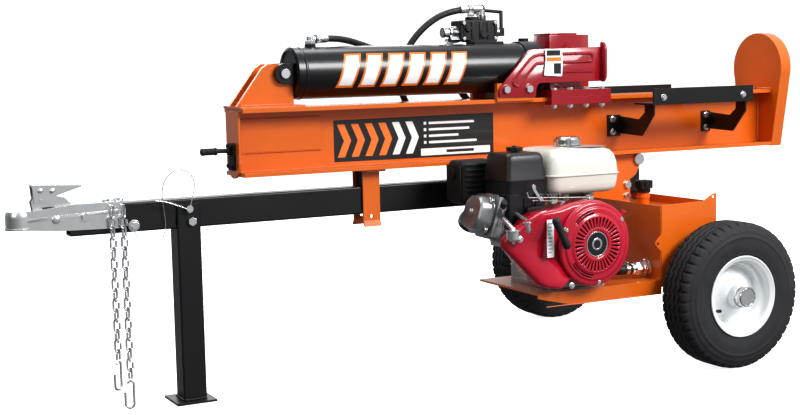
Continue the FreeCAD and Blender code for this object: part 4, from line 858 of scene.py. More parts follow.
# ---- starter grip: moulded rubber handle on the pull cord, parked beside the cover ----
# Black rubber, with a short stub of the cord's end; it rides on the starter's own body.
grip_low, grip_high = (-542, -446, 384), (-572, -442, 450)
bm = bmesh.new()
run = (Vector(grip_high) - Vector(grip_low)).length
lathe(bm, [(0, -9), (7, -8), (10, -4), (11, 2), (10, run * 0.3), (9.4, run * 0.5), (10, run * 0.7),
           (11, run - 2),
           (10.4, run + 4), (7, run + 8.6), (0, run + 10)], grip_low, Vector(grip_high) - Vector(grip_low),
      32)
keep(bm, "starter_pull_grip", RUBBER, "starter", "black_plastic", "recoil_handle", sharp=60)
bm = bmesh.new()
stem(bm, (-540, -441, 398), (-534, -434, 401), 3, 12)
keep(bm, "starter_cord_end", RUBBER, "starter", "black_plastic")


# ---- shroud label: a plain white vinyl strip with grey bars in place of its print ----
# Cast vinyl: satin white film with rounded corners.
def vinyl(name, code, rough=0.38):
    material, tree, shader, place = surface(name, code, rough, more={"Coat Weight": 0.2})
    ripple = add(tree, "ShaderNodeTexNoise", {"Vector": place, "Scale": every(22), "Detail": 2.0})
    shades(tree, shader, ripple.outputs["Fac"], rough * 0.8, rough * 1.2, "Roughness")
    relief(tree, shader, ripple.outputs["Fac"], 0.08)
    return material


WHITE_VINYL = vinyl("white_vinyl", "#f1f1ee")
BLACK_VINYL = vinyl("black_vinyl", "#131315")
ORANGE_VINYL = vinyl("orange_vinyl", "#ee7a2a")
GREY_VINYL = vinyl("grey_vinyl", "#9a9b9c")


def sticker(name, outline, y, thick, material, body, slot="filter_white"):
    """A flat label on a face that looks towards -Y."""
    bm = bmesh.new()
    slab(bm, outline, "y", y - thick, y)
    return keep(bm, name, material, body, slot)


sticker("shroud_label", oblong(-584, -562, 352, 452, 3), SHROUD_FACE - 0.2, 0.4, WHITE_VINYL, "chassis")
bm = bmesh.new()
for k in range(9):
    width = (14, 11, 13, 8, 14, 12, 9, 13, 10)[k]
    slab(bm, [(-580, 440 - k * 9.5), (-580 + width, 440 - k * 9.5), (-580 + width, 443 - k * 9.5),
              (-580, 443 - k * 9.5)], "y", SHROUD_FACE - 0.8, SHROUD_FACE - 0.6)
keep(bm, "shroud_label_bars", GREY_VINYL, "chassis", "filter_white")


# ---- muffler: pressed steel box in heat-resistant black, with guard slats ----
# Heat paint: dead matt black, greyed at its edges by a painted highlight.
HEAT_BLACK = enamel("heat_resistant_black", "#131314", "#3a3836", 0.62, 1.5, 0.06)
paint(HEAT_BLACK, "muffler", "control_valve")
bm = bmesh.new()
for z in range(500, 586, 14):
    slab(bm, oblong(-692, -596, z, z + 6, 2.8), "y", -187.5, -184.5, 1.0)
slab(bm, oblong(-706, -702.2, 490, 586, 1.5), "y", -178, -102, 1.2)
stem(bm, (-703, -140, 560), (-711.5, -140, 560), 11, 24, 2)
keep(bm, "muffler_guard_slats", HEAT_BLACK, "chassis", "dark_steel")


# ---- air cleaner: two moulded housings clipped together over the carburettor, wing nut on top ----
# Injection-moulded polypropylene, charcoal, with a spark-eroded matt face.
CHARCOAL = moulding("charcoal_polypropylene", "#1b1b1d", 0.38, 0.8, 0.05, "#232426")
AX0, AX1, AY0, AY1 = -650, -522, -330, -200


def boxy(grow, corner=17):
    return oblong(AX0 - grow, AX1 + grow, AY0 - grow, AY1 + grow, corner, 5)


def walls(bm, levels):
    """Loft a moulded wall through outlines at rising heights, given as (outline, z)."""
    lofted(bm, [[(x, y, z) for x, y in outline] for outline, z in levels])


bm = bmesh.new()
walls(bm, [(boxy(0), 549), (boxy(0), 551), (boxy(-1.2), 556), (boxy(-5), 600), (boxy(-6.5), 610),
           (boxy(-9), 616.5),
           (boxy(-13), 620.4), (boxy(-18, 14), 621.8), (boxy(-40, 6), 622)])
keep(bm, "air_cleaner_lid", CHARCOAL, "chassis", "black_plastic", "air_cleaner", sharp=50)
bm = bmesh.new()
walls(bm, [(boxy(-4), 512), (boxy(-3), 513), (boxy(-3), 515), (boxy(-1), 545), (boxy(0), 547.5),
           (boxy(-3), 548.6)])
front = oblong(AX0 + 5, -566, AY0 + 2, AY0 + 22, 6)
walls(bm, [([(x, y) for x, y in inset(front, 4, (-605, AY0 + 12))], 432), (front, 436), (front, 513)])
slab(bm, oblong(-560, -530, 448, 512, 6), "y", AY0 + 4, AY0 + 12, 1.5)
keep(bm, "air_cleaner_base", CHARCOAL, "chassis", "black_plastic", sharp=50)
bm = bmesh.new()
slab(bm, oblong(-600, -574, 462, 506, 4), "y", AY0 - 0.5, AY0 + 4, 0.8)
slab(bm, oblong(-594, -588, 442, 456, 1), "y", AY0 + 0.4, AY0 + 3, 0.3)
keep(bm, "air_cleaner_side_panel", BLACK_PLASTIC, "chassis", "black_plastic")
bm = bmesh.new()
lathe(bm, [(0, 620), (9, 620), (9, 623.5), (7, 625), (0, 625)], (-586, -265, 0), (0, 0, 1), 24)
slab(bm, moved(fluted(5, 22, 3.4, 0.5), -586, -265), "z", 625, 636, 2.4, 3)
lathe(bm, [(0, 640), (6, 639.6), (7, 638), (7, 635)], (-586, -265, 0), (0, 0, 1), 24)
keep(bm, "air_cleaner_wing_nut", BLACK_PLASTIC, "chassis", "black_plastic")


# ---- carburettor side: float bowl, plated fuel cup, governor rods and return spring ----
# Plated steel cups, bare rods and a wound spring, and a matt black plate behind them.
bm = bmesh.new()
for x, y, z, r in ((-662, -376, 396, 19), (-622, -384, 416, 12)):
    lathe(bm, [(0, 0), (r * 0.55, 0), (r * 0.8, 3), (r, 8), (r, 26), (r + 2, 27), (r + 2, 31), (r, 32),
               (0, 32)],
          (x, y, z), (0, 0, 1), 36)
    hex_head(bm, (x, y, z), (0, 0, -1), 11, 6)
stem(bm, (-662, -376, 428), (-662, -330, 452), 7, 20)
stem(bm, (-622, -384, 448), (-622, -324, 462), 6, 20)
keep(bm, "fuel_cups", BRIGHT_ZINC, "chassis", "cast_aluminium")
paint(BRIGHT_ZINC, "throttle_lever")
bm = bmesh.new()
for a, b, r in (((-598, -352, 506), (-392, -352, 494), 1.5), ((-586, -350, 498), (-452, -350, 486), 1.2),
                ((-392, -352, 494), (-376, -340, 470), 1.5), ((-602, -350, 520), (-598, -352, 506), 1.5)):
    stem(bm, a, b, r, 10, 0.3)
for k in range(40):
    t = k * 2 * math.pi / 8
    u = (k + 1) * 2 * math.pi / 8
    a = (-540 + k * 1.2, -346 + 4 * math.cos(t), 507 + 4 * math.sin(t))
    b = (-540 + (k + 1) * 1.2, -346 + 4 * math.cos(u), 507 + 4 * math.sin(u))
    stem(bm, a, b, 0.8, 6, 0.1)
hex_head(bm, (-374, -346, 474), (0, -1, 0), 10, 5, 8)
keep(bm, "governor_rods", ALLOY, "chassis", "zinc_plate")
bm = bmesh.new()
slab(bm, softened([(-596, 478), (-470, 486), (-352, 480), (-350, 470), (-470, 476), (-596, 468)], 4), "y",
     -343, -338, 0.8)
keep(bm, "governor_plate", HEAT_BLACK, "chassis", "dark_steel")


# The crankcase's foot is a silver-lacquered cast plate on the shelf, with two hold-down bolts.
bm = bmesh.new()
slab(bm, oblong(-530.6, -347.4, -340.6, -149.4, 8, 4), "z", 250.2, 265, 2.5)
for x in (-516, -362):
    hex_head(bm, (x, -324, 265), (0, 0, 1), 17, 8, 11)
keep(bm, "engine_foot_casting", COVER_SILVER, "chassis", "cast_aluminium")


# ---- fuel tank: two deep-drawn steel halves seam-welded at a flange, in cream enamel ----
# Cream stoving enamel: warm white, glossy, slightly wavy over the drawn corners.
CREAM = enamel("cream_stove_enamel", "#dcdad0", "#e6e4dc", 0.26, 6, 0.05, 0.4)
FX0, FX1, FY0, FY1 = -519, -292, -345, -125


def tank_ring(grow, corner=30):
    return oblong(FX0 - grow, FX1 + grow, FY0 - grow, FY1 + grow, corner, 7)


bm = bmesh.new()
walls(bm, [(tank_ring(-38, 20), 503.2), (tank_ring(-20), 504.5), (tank_ring(-9), 510), (tank_ring(-4), 519),
           (tank_ring(-2), 532), (tank_ring(-0.5), 553), (tank_ring(3), 554.4), (tank_ring(3), 557.4),
           (tank_ring(0), 559), (tank_ring(-2.5), 588), (tank_ring(-7), 606), (tank_ring(-15), 618),
           (tank_ring(-27), 624.6), (tank_ring(-44, 22), 627.4), (tank_ring(-70, 16), 628)])
for x in (-482, -362):
    for y in (-290, -170):
        slab(bm, oblong(x - 10, x + 10, y - 10, y + 10, 3), "z", 453, 505, 1.0)
keep(bm, "cream_fuel_tank", CREAM, "chassis", "cream_enamel", "fuel_tank", sharp=40)
CAP_X, CAP_Y = -393, -232
bm = bmesh.new()
lathe(bm, [(25, 626), (27, 627), (27, 631), (25, 633)], (CAP_X, CAP_Y, 0), (0, 0, 1), 48)
keep(bm, "fuel_filler_neck", CREAM, "chassis", "cream_enamel")
bm = bmesh.new()
patch = softened([(-372, -322), (-318, -318), (-318, -262), (-345, -206), (-440, -300)], 9, 4)
walls(bm, [(patch, 627.9), (patch, 628.25)])
keep(bm, "tank_top_label", GREY_VINYL, "chassis", "filter_white")

# The cap is pressed steel, chromed, rolled in at the foot and indented for the fingers.
bm = bmesh.new()
cap_line = moved(fluted(12, 38, 1.6, 0.4), CAP_X, CAP_Y)
slab(bm, cap_line, "z", 631, 648, 2.0, 3)
lathe(bm, [(34, 647), (33.5, 650), (31, 652.6), (27, 654), (16, 654.6), (0, 654.8)], (CAP_X, CAP_Y, 0),
      (0, 0, 1), 64)
keep(bm, "fuel_cap_chrome", CHROME, "petrol_cap", "chrome", "fuel_cap", sharp=32)


# ---- pump, engine shelf and tilt bracket: hexagon bolts and weld beads ----
# Zinc plated bolts on both sides of the pump; the beads are under the orange enamel.
bm = bmesh.new()
for x in (-470, -402):
    for z in (342, 414):
        hex_head(bm, (x, -62.5, z), (0, -1, 0), 13, 6, 9)
        hex_head(bm, (x, 46.5, z), (0, 1, 0), 13, 6, 9)
keep(bm, "pump_bolts", BRIGHT_ZINC, "chassis", "zinc_plate")
weld("shelf_weld", [(-560, -373, 212), (-190, -373, 212)], 1.6, ORANGE, "chassis", "orange_enamel")
weld("bracket_weld_near", [(-150, -36, 436), (-60, -36, 436)], 2.4, ORANGE, "chassis", "orange_enamel")


# ---- beam: rolled steel I-section with its end plate, doublers, foot, anchor and saddle welded on ----
# Each route is the near side's, as (name, radius of the bead, points); the far side mirrors it.
BEAM_END = -1284
BEAM_WELDS = [
    ("doubler", 2.4, [(-1270, -7, 640), (-1040, -7, 640), (-1040, -7, 729), (-1270, -7, 729)]),
    ("end_plate", 2.6, [(BEAM_END + 1.5, -6.5, 592), (BEAM_END + 1.5, -6.5, 746)]),
    ("foot_web", 4, [(498, -7, 592), (498, -7, 746)]),
    ("foot_flange", 3, [(498.5, -68, 760), (498.5, -8, 760)]),
    ("anchor", 2.8, [(-1278, -34, 765.5), (-1130, -34, 765.5)]),
    ("anchor_base", 2.4, [(-1288, -61, 759.5), (-1106, -61, 759.5)]),
    ("saddle", 2.4, [(-927, -35, 573), (-880, -35, 573)]),
    ("ear", 1.6, [(-520, -75, 762), (-400, -75, 762)])]
for side, word in ((1, "near"), (-1, "far")):
    for joint, radius, route in BEAM_WELDS:
        weld("%s_weld_%s" % (joint, word), [(x, side * y, z) for x, y, z in route], radius, ORANGE,
             "beam_unit",
             "orange_enamel", closed=joint == "doubler")


# ---- beam panel: printed vinyl on the near web, here plain bands and bars instead of its lettering ----
# Black film with orange and white chevrons and white bars, each layer laid on the one below.
PANEL = [(-1000, 602), (-494, 599), (-494, 719), (-1000, 716)]
WEB_FACE = -5.0
bm = bmesh.new()
slab(bm, softened(PANEL, 3, 2), "y", WEB_FACE - 0.5, WEB_FACE - 0.1)
keep(bm, "beam_panel_film", BLACK_VINYL, "beam_unit", "black_plastic")
for word, material, places in (("orange", ORANGE_VINYL, range(4)), ("white", WHITE_VINYL, range(4, 6))):
    bm = bmesh.new()
    for k in places:
        x = -990 + k * 42
        chevron = [(x, 614), (x + 22, 614), (x + 42, 659), (x + 22, 704), (x, 704), (x + 20, 659)]
        slab(bm, softened(chevron, 1.5, 2), "y", WEB_FACE - 0.8, WEB_FACE - 0.5)
    keep(bm, "beam_panel_%s_chevrons" % word, material, "beam_unit", "orange_enamel")
bm = bmesh.new()
for row, width in enumerate((148, 132, 96, 156)):
    z = 697 - row * 18
    slab(bm, oblong(-722, -714, z - 4, z + 4, 1), "y", WEB_FACE - 0.8, WEB_FACE - 0.5)
    slab(bm, oblong(-706, -706 + width, z - 3.4, z + 3.4, 2.5), "y", WEB_FACE - 0.8, WEB_FACE - 0.5)
slab(bm, oblong(-732, -506, 606, 626, 2), "y", WEB_FACE - 0.8, WEB_FACE - 0.5)
keep(bm, "beam_panel_white_bars", WHITE_VINYL, "beam_unit", "filter_white")
bm = bmesh.new()
slab(bm, oblong(-650, -560, 612, 620, 2), "y", WEB_FACE - 1.0, WEB_FACE - 0.8)
keep(bm, "beam_panel_footer_bar", BLACK_VINYL, "beam_unit", "black_plastic")


# ---- lift handle: steel rod screwed into the beam's end plate, with a ribbed rubber grip ----
# Heat-black rod and bolt heads on a rubber pad; the grip is pushed on over the rod.
HX, HZ = -1290, 648
bm = bmesh.new()
stem(bm, (HX - 6, 0, HZ), (HX - 46, 0, HZ + 1), 6, 24)
hex_head(bm, (HX - 6, 0, HZ), (-1, 0, 0), 19, 7, 13)
for y, z in ((-12, 608), (12, 608), (-12, 660), (12, 660)):
    hex_head(bm, (HX - 6, y, z), (-1, 0, 0), 10, 5, 7)
keep(bm, "lift_handle_rod", HEAT_BLACK, "beam_unit", "dark_steel")
bm = bmesh.new()
slab(bm, oblong(-22, 22, 596, 668, 6), "x", HX - 6, HX - 0.2, 1.2)
grip = [(0, 44), (8, 44), (10.4, 46), (10.4, 49), (8.4, 51)]
for k in range(7):
    grip += [(8.4, 52 + k * 4), (9.6, 53.4 + k * 4), (8.4, 55 + k * 4)]
lathe(bm, grip + [(9.8, 80), (9.8, 85), (8, 88), (0, 88.4)], (HX, 0, HZ), (-1, 0, 0), 32)
keep(bm, "lift_handle_grip", RUBBER, "beam_unit", "black_plastic", "lift_handle", sharp=30)
paint(RUBBER, "beam_rest")


# ---- ram barrel: honed tube with welded clevis cap and screwed gland, in gloss black ----
# Black gloss enamel on a turned tube: long clean reflections.
BARREL_BLACK = enamel("black_gloss_enamel", "#08080a", "#1e1e22", 0.3, 5, 0.03, 0.15)
CYL_Z, CYL_R, GLAND = 846, 70, -353
paint(BARREL_BLACK, "cylinder_barrel")
paint(CHROME, "ram_rod")


def hoop(bm, x, radius, proud, width, turns=96):
    """A weld or bead round the barrel."""
    lathe(bm, [(radius, 0), (radius + proud * 0.8, width * 0.2), (radius + proud, width * 0.5),
               (radius + proud * 0.8, width * 0.8), (radius, width)], (x, 0, CYL_Z), (1, 0, 0), turns)


bm = bmesh.new()
hoop(bm, -1104, CYL_R - 0.2, 1.4, 9)
hoop(bm, -416, CYL_R - 0.2, 1.4, 8)
lathe(bm, [(56, 0), (60, -4), (66, -3), (69.6, 0)], (-1122, 0, CYL_Z), (1, 0, 0), 64)
lathe(bm, [(27, 0), (30, 0.2), (31, 2), (30, 3.4), (26.2, 3.4)], (GLAND, 0, CYL_Z), (1, 0, 0), 48)
for k in range(4):
    t = math.radians(45 + 90 * k)
    stem(bm, (GLAND - 1, 54 * math.cos(t), CYL_Z + 54 * math.sin(t)),
         (GLAND + 2.5, 54 * math.cos(t), CYL_Z + 54 * math.sin(t)), 5, 6)
keep(bm, "barrel_welds_and_gland_face", BARREL_BLACK, "beam_unit", "black_enamel")


def band(name, x0, x1, half_degrees, material, proud, slant=0.0, middle=-30):
    """A printed film wrapped on the barrel's near side, its ends cut on a slant."""
    bm = bmesh.new()
    rows = 24
    loops = []
    for depth in (proud, proud - 0.2):
        for edge in (x0, x1):
            line = []
            for k in range(rows + 1):
                t = math.radians(middle + half_degrees * (2 * k / rows - 1))
                radius = CYL_R + depth
                line.append(bm.verts.new(at(edge + slant * (2 * k / rows - 1), -radius * math.cos(t),
                                            CYL_Z - radius * math.sin(-t))))
            loops.append(line)
    outer_a, outer_b, inner_a, inner_b = loops
    for first, second in ((outer_a, outer_b), (outer_b, inner_b), (inner_b, inner_a), (inner_a, outer_a)):
        for k in range(rows):
            bm.faces.new((first[k], first[k + 1], second[k + 1], second[k]))
    for k in (0, rows):
        bm.faces.new((outer_a[k], outer_b[k], inner_b[k], inner_a[k]))
    return keep(bm, name, material, "beam_unit", "orange_enamel", sharp=30)


for k in range(6):
    left = -1000 + 66 * k
    band("barrel_block_orange_%d" % k, left, left + 50, 40, ORANGE_VINYL, 0.35, 16, 4)
    band("barrel_block_white_%d" % k, left + 6, left + 44, 34, WHITE_VINYL, 0.6, 13.6, 4)


# ---- wedge: welded steel box with a flame-cut cutting edge, on a slide held to the beam by gib bars ----
# Dark red gloss enamel; the slide's cut edges show fine drag lines through the paint.
WEDGE_RED = enamel("dark_red_gloss_enamel", "#94101f", "#b83a46", 0.2, 4, 0.05, 0.5)


def cut_plate():
    material = WEDGE_RED.copy()
    material.name = "flame_cut_red_plate"
    tree = material.node_tree
    shader = tree.nodes["Principled BSDF"]
    place = add(tree, "ShaderNodeTexCoord").outputs["Object"]
    drag = add(tree, "ShaderNodeTexWave", {"Vector": place, "Scale": every(9), "Distortion": 2.5,
                                           "Detail": 3.0},
               bands_direction="X")
    relief(tree, shader, drag.outputs["Fac"], 0.25, 1.4)
    return material


CUT_RED = cut_plate()
paint(CUT_RED, "slide_plate", "gib_blocks")
SLIDE_TOP, WEDGE_TOP = 779, 943
bm = bmesh.new()
plan = softened([(-322, -42), (-276, -42), (-193, -16), (-155.6, -0.9), (-155.6, 0.9), (-193, 16),
                 (-276, 42),
                 (-322, 42)], 1.2, 2)
slab(bm, plan, "z", SLIDE_TOP, WEDGE_TOP - 5, 1.5)
step = softened([(-322, -42), (-277, -42), (-212, -22), (-212, 22), (-277, 42), (-322, 42)], 1.5, 2)
slab(bm, step, "z", WEDGE_TOP - 6, WEDGE_TOP, 1.5)
keep(bm, "wedge_body", WEDGE_RED, "ram", "red_enamel", "wedge", sharp=32)
for side, word in ((1, "near"), (-1, "far")):
    weld("wedge_foot_weld_" + word, [(-322, side * -44, SLIDE_TOP + 1), (-276, side * -44, SLIDE_TOP + 1),
                                     (-193, side * -18, SLIDE_TOP + 1), (-158, side * -3, SLIDE_TOP + 1)],
         3,
         WEDGE_RED, "ram", "red_enamel")
bm = bmesh.new()
lathe(bm, [(25.6, 0), (33, 0.5), (35, 3), (33, 6), (25.6, 9)], (-331, 0, 846), (1, 0, 0), 48)
keep(bm, "rod_to_wedge_weld", WEDGE_RED, "ram", "red_enamel")


# ---- strippers: pressed guard plates each side of the wedge, bolted to the beam's ears ----
# The plate has one long raised rib that bends down to the foot, and a shorter one inside it.
def rib_path(points, half, steps=10):
    """An outline of constant width round a bent path, with round ends."""
    ring = []
    path = [Vector(p) for p in points]
    for way in (1, -1):
        walk = path if way == 1 else path[::-1]
        for i, p in enumerate(walk):
            ahead_dir = (walk[min(i + 1, len(walk) - 1)] - walk[max(i - 1, 0)]).normalized()
            normal = Vector((-ahead_dir.y, ahead_dir.x))
            if i == len(walk) - 1:
                for k in range(steps + 1):
                    t = math.pi * k / steps
                    ring.append(tuple(p + normal * (half * math.cos(t)) + ahead_dir * (half * math.sin(t))))
            elif i:
                ring.append(tuple(p + normal * half))
    return ring


def raised(bm, outline, side, y0, steps):
    """A pressed rib: rings of (how far in, how high) that follow the outline over the plate."""
    lofted(bm, [[(p[0], side * (y0 + rise), p[1]) for p in shrunk(outline, inward)] for inward,
                rise in steps])


def shrunk(outline, by):
    """Move each point of an outline inwards along its normal."""
    area = sum(a[0] * b[1] - b[0] * a[1] for a, b in zip(outline, outline[1:] + outline[:1]))
    sign = 1 if area > 0 else -1
    out = []
    for i, p in enumerate(outline):
        a = Vector(outline[i - 1])
        b = Vector(outline[(i + 1) % len(outline)])
        run = (b - a).normalized()
        out.append((p[0] - run.y * by * sign, p[1] + run.x * by * sign))
    return out


# The long rib is a raised ridge round a sunken channel; the short one is a plain raised bar.
LONG_RIB = [(-462, 806), (-418, 850), (-408, 860), (-398, 866), (-384, 869), (-300, 870), (-212, 871)]
RIDGE = ((0, 0), (2, 3.4), (4, 5), (6, 5), (8, 3.4), (10, 0.4))
PLAIN_RIB = ((0, 0), (1.2, 2.4), (2.6, 3.6))


for side, word in ((-1, "near"), (1, "far")):
    bm = bmesh.new()
    plate = softened([(-519, 764), (-519, 788), (-423, 890), (-412, 897), (-168, 901), (-168, 801),
                      (-384, 801),
                      (-394, 792), (-396, 762)], 5, 3)
    low_y, high_y = sorted((side * 77, side * 83))
    slab(bm, plate, "y", low_y, high_y, 1.2)
    raised(bm, rib_path(LONG_RIB, 17), side, 82.4, RIDGE)
    raised(bm, oblong(-374, -196, 826, 838, 5.5), side, 82.4, PLAIN_RIB)
    flange = softened([(side * 77, 801), (side * 77, 915), (side * 90, 915), (side * 101, 898),
                       (side * 101, 814),
                       (side * 90, 798)], 4, 3)
    slab(bm, flange, "x", -169, -160.5, 1.6)
    for x, z in ((-496, 785), (-420, 785)):
        lathe(bm, [(13, 0), (14.6, 0.4), (15.4, 2)], (x, side * 84.4, z), (0, -side, 0), 32)
    keep(bm, word + "_stripper_guard", WEDGE_RED, "beam_unit", "red_enamel", "stripper_" + word, sharp=32)

LABEL = softened([(-372, 822), (-310, 818), (-306, 872), (-312, 896), (-368, 898), (-366, 868)], 3, 2)
bm = bmesh.new()
slab(bm, LABEL, "y", -88.4, -87.9)
keep(bm, "guard_label_film", WHITE_VINYL, "beam_unit", "filter_white")
bm = bmesh.new()
slab(bm, oblong(-362, -316, 878, 893, 1.5), "y", -88.8, -88.4)
slab(bm, oblong(-338, -314, 826, 856, 1.5), "y", -88.8, -88.4)
keep(bm, "guard_label_black", BLACK_VINYL, "beam_unit", "black_plastic")
bm = bmesh.new()
slab(bm, oblong(-362, -313, 862, 873, 1.5), "y", -88.8, -88.4)
keep(bm, "guard_label_orange", ORANGE_VINYL, "beam_unit", "orange_enamel")


# ---- log cradles: folded black trays on welded arms, bolted through the beam's web ----
# Black powder coat with zinc plated bolts. The trays are the CAD solids.
paint(BLACK, "log_cradle_near", "log_cradle_far")
bm = bmesh.new()
for side in (-1, 1):
    for x in (-76, 283):
        for z in (683, 645):
            hex_head(bm, (x, side * 11, z), (0, side, 0), 15, 6, 10)
tray_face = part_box("log_cradle_near")[0][1] / MM
for x in (-30, 268):
    for side in (-1, 1):
        hex_head(bm, (x, -side * tray_face, 750), (0, side, 0), 15, 5, 10)
keep(bm, "cradle_bolt_heads", BRIGHT_ZINC, "beam_unit", "zinc_plate")
for side, word in ((-1, "near"), (1, "far")):
    for x in (-52, 294):
        weld("cradle_arm_weld_%s_%d" % (word, 1 + (x > 0)),
             [(x - 1, side * 138, 728), (x - 1, side * 176, 728)], 2,
             BLACK, "beam_unit", "black_enamel")


# ---- control valve: cast spool valve with a detent cap, relief plug and inlet elbow ----
# Black casting with plated plugs and elbows; its lever is a black rod with a ball knob.
VX0, VX1 = -575, -450
bm = bmesh.new()
for x in range(-566, -458, 26):
    slab(bm, oblong(x, x + 9, 928, 980, 2), "y", 29.5, 34, 1.2)
hex_head(bm, (-552, 33, 962), (0, -1, 0), 20, 9)
hex_head(bm, (-500, 33, 944), (0, -1, 0), 22, 8)
keep(bm, "valve_plugs_and_ribs", HEAT_BLACK, "beam_unit", "dark_steel")
bm = bmesh.new()
hex_head(bm, (-520, 62, 993), (0, 0, 1), 24, 8, 16)
hex_head(bm, (-1060, 0, 921), (0, 0, 1), 24, 12)
hex_head(bm, (VX0 - 0.5, 56, 950), (-1, 0, 0), 36, 20)
detent = [(0, 0), (14.6, 0), (14.6, 5), (13.2, 6), (13.2, 9), (14.6, 10), (14.6, 25), (12, 27.5), (0, 27.5)]
lathe(bm, detent, (VX0 - 20.5, 56, 950), (-1, 0, 0), 40)
hex_head(bm, (VX0 - 0.5, 46, 930), (-1, 0, 0), 18, 29)
for k in range(3):
    lathe(bm, [(0, 0), (14, 0), (15, 0.8), (15, 2.6), (14, 3.4), (0, 3.4)], (VX1 + 0.6 + 3.8 * k, 56, 950),
          (1, 0, 0), 32)
hex_head(bm, (-486, 70, 984.2), (0, 0, 1), 27.4, 16)
stem(bm, (-486, 70, 998), (-486, 70, 1019), 12.8, 32, 2)
stem(bm, (-483, 70, 1018), (-517, 70, 1018), 13.0, 32, 2)
stem(bm, (-1060, 0, 930), (-1060, 0, 944), 9.5, 24, 2)
stem(bm, (-1064, 0, 936), (-1045, 0, 936), 8, 24, 1)
for x in (VX0 + 10, VX1 - 10):
    for z in (932, 976):
        lathe(bm, [(0, 5.5), (4.6, 5.5), (5.2, 5), (5.2, 0)], (x, 32, z), (0, -1, 0), 20)
keep(bm, "valve_cap_screws", BRIGHT_ZINC, "beam_unit", "zinc_plate")

bm = bmesh.new()
knob_centre = (-421, 196, 1021)
lathe(bm, [(0, -17), (7, -16), (12, -12), (16, -5), (17, 1), (16, 7), (12, 12), (6, 15.6), (0, 16.6)],
      knob_centre,
      (0.03, 1, 0.09), 40)
keep(bm, "lever_ball_knob", BLACK_PLASTIC, "lever", "black_plastic", sharp=80)
bm = bmesh.new()
stem(bm, (-425, 44, 950), (-425, 69, 950), 2.95, 20, 0.3)
slab(bm, softened([(-429, 942), (-420, 942), (-420, 1012), (-429, 1012)], 3, 3), "y", 53, 60, 0.8)
stem(bm, (-425, 56, 1008), (-421.6, 184, 1019), 5, 24)
keep(bm, "lever_link_and_rod", HEAT_BLACK, "lever", "dark_steel", "valve_lever")


# ---- hose ends: crimped ferrules and swivel nuts, zinc plated, where each hose meets its port ----
# Each nut faces its port and the ferrule grips the hose behind it.
def hose_end(bm, point, toward, radius):
    """A crimped ferrule and its nut on a hose's end, seen from its port."""
    way = (Vector(toward) - Vector(point)).normalized()
    profile = [(radius, 14), (radius + 2.2, 14.6)]
    for k in range(4):
        profile += [(radius + 2.4, 17 + k * 5), (radius + 1.2, 18.4 + k * 5), (radius + 2.4, 19.8 + k * 5)]
    lathe(bm, profile + [(radius + 2, 37), (radius, 37.6)], point, way, 32)
    hex_head(bm, point, tuple(way), 2 * radius + 7, 14)


def ends_on(name, body, ends):
    bm = bmesh.new()
    for point, toward, radius in ends:
        hose_end(bm, point, toward, radius)
    return keep(bm, name, BRIGHT_ZINC, body, "zinc_plate", sharp=30)


ends_on("hose_ends_on_beam", "beam_unit", [(PRESSURE_UPPER[0], PRESSURE_UPPER[1], 9.5),
                                           (BASE_PORT[0], BASE_PORT[1], 9),
                                           (BASE_PORT[-1], BASE_PORT[-2], 9),
                                           (RETURN_UPPER[0], RETURN_UPPER[1], 11)])
ends_on("hose_ends_on_frame", "chassis", [(PRESSURE_LOWER[-1], PRESSURE_LOWER[-2], 9.5),
                                          (RETURN_LOWER[-1], RETURN_LOWER[-2], 11)])
# Swivel joints on the tilt axis, where each long hose turns with the beam.
for route, radius, name in ((PRESSURE_UPPER, 9.5, "pressure"), (RETURN_UPPER, 11, "return")):
    bm = bmesh.new()
    lathe(bm, [(0, 0), (radius + 3, 0), (radius + 4, 1), (radius + 4, 13), (radius + 3, 14), (0, 14)],
          route[-1], (0, 1, 0), 32)
    keep(bm, name + "_swivel", BRIGHT_ZINC, "beam_unit", "zinc_plate")


# ---- studio: a white floor and four soft lamps ----
# The floor glows a little, and neither mirrors in the object nor lights it.
floor_mat, _, floor_shader, _ = surface("white_studio_floor", "#f6f6f6", 0.8)
floor_shader.inputs["Emission Color"].default_value = colour("#ffffff")
floor_shader.inputs["Emission Strength"].default_value = 0.72
bm = bmesh.new()
bmesh.ops.create_grid(bm, x_segments=1, y_segments=1, size=14)
floor_mesh = bpy.data.meshes.new("floor")
bm.to_mesh(floor_mesh)
bm.free()
floor = bpy.data.objects.new("floor", floor_mesh)
floor_mesh.materials.append(floor_mat)
bpy.context.collection.objects.link(floor)
floor.visible_glossy = False
floor.visible_diffuse = False


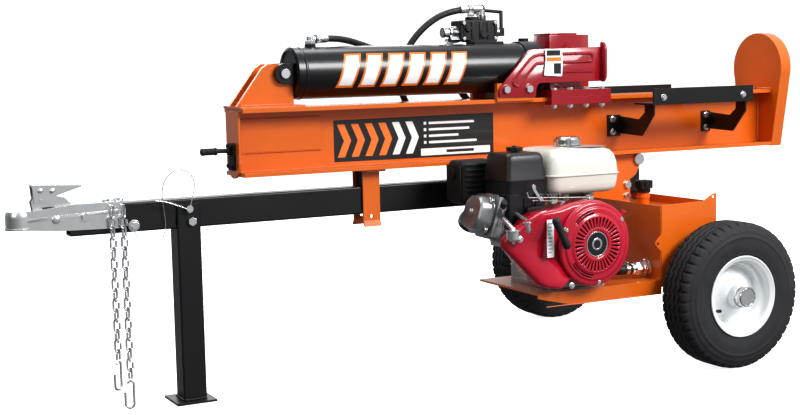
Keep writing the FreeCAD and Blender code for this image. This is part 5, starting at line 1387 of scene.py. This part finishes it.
def lamp(name, place, aim, size, watts):
    """A soft rectangular studio light aimed at a point."""
    data = bpy.data.lights.new(name, "AREA")
    data.shape = "RECTANGLE"
    data.size, data.size_y = size
    data.energy = watts
    light = bpy.data.objects.new(name, data)
    light.location = place
    light.rotation_euler = (Vector(aim) - Vector(place)).to_track_quat("-Z", "Y").to_euler()
    bpy.context.collection.objects.link(light)


lamp("key_softbox", (1.9, -3.8, 3.1), (0.1, 0, 0.5), (2.2, 1.6), 215)
lamp("fill_softbox", (-4.0, -2.2, 2.4), (-0.3, 0, 0.5), (2.4, 2.4), 26)
lamp("top_softbox", (-0.3, 0.6, 3.8), (0, 0, 0.4), (3.6, 1.2), 60)
lamp("rear_softbox", (0.6, 3.8, 2.4), (0, 0, 0.6), (3.6, 1.8), 60)

# The room is white behind the object, bright overhead and dark low down, so that plating has
# something to mirror.
world = bpy.data.worlds.new("studio")
world.use_nodes = True
sky = world.node_tree
backdrop = sky.nodes["Background"]
backdrop.inputs["Color"].default_value = colour("#ffffff")
backdrop.inputs["Strength"].default_value = 1.1
bearing = add(sky, "ShaderNodeSeparateXYZ", {"Vector": add(sky, "ShaderNodeTexCoord").outputs["Generated"]})
height = add(sky, "ShaderNodeMapRange", {"Value": bearing.outputs["Z"], "From Min": -0.7, "From Max": 0.7,
                                         "To Min": 0.22, "To Max": 0.82})
sideways = add(sky, "ShaderNodeMapRange", {"Value": bearing.outputs["X"], "From Min": -1.0, "From Max": 0.3,
                                           "To Min": 0.3, "To Max": 1.0})
glow = add(sky, "ShaderNodeMath", {0: height.outputs["Result"], 1: sideways.outputs["Result"]},
           operation="MULTIPLY")
room = add(sky, "ShaderNodeBackground", {"Color": colour("#f4f6fa"), "Strength": glow.outputs["Value"]})
seen = add(sky, "ShaderNodeLightPath").outputs["Is Camera Ray"]
both = add(sky, "ShaderNodeMixShader", {0: seen, 1: room.outputs["Background"],
                                        2: backdrop.outputs["Background"]})
sky.links.new(both.outputs["Shader"], sky.nodes["World Output"].inputs["Surface"])
bpy.context.scene.world = world
bpy.context.scene.view_settings.view_transform = "Standard"
bpy.context.scene.view_settings.look = "Medium High Contrast"
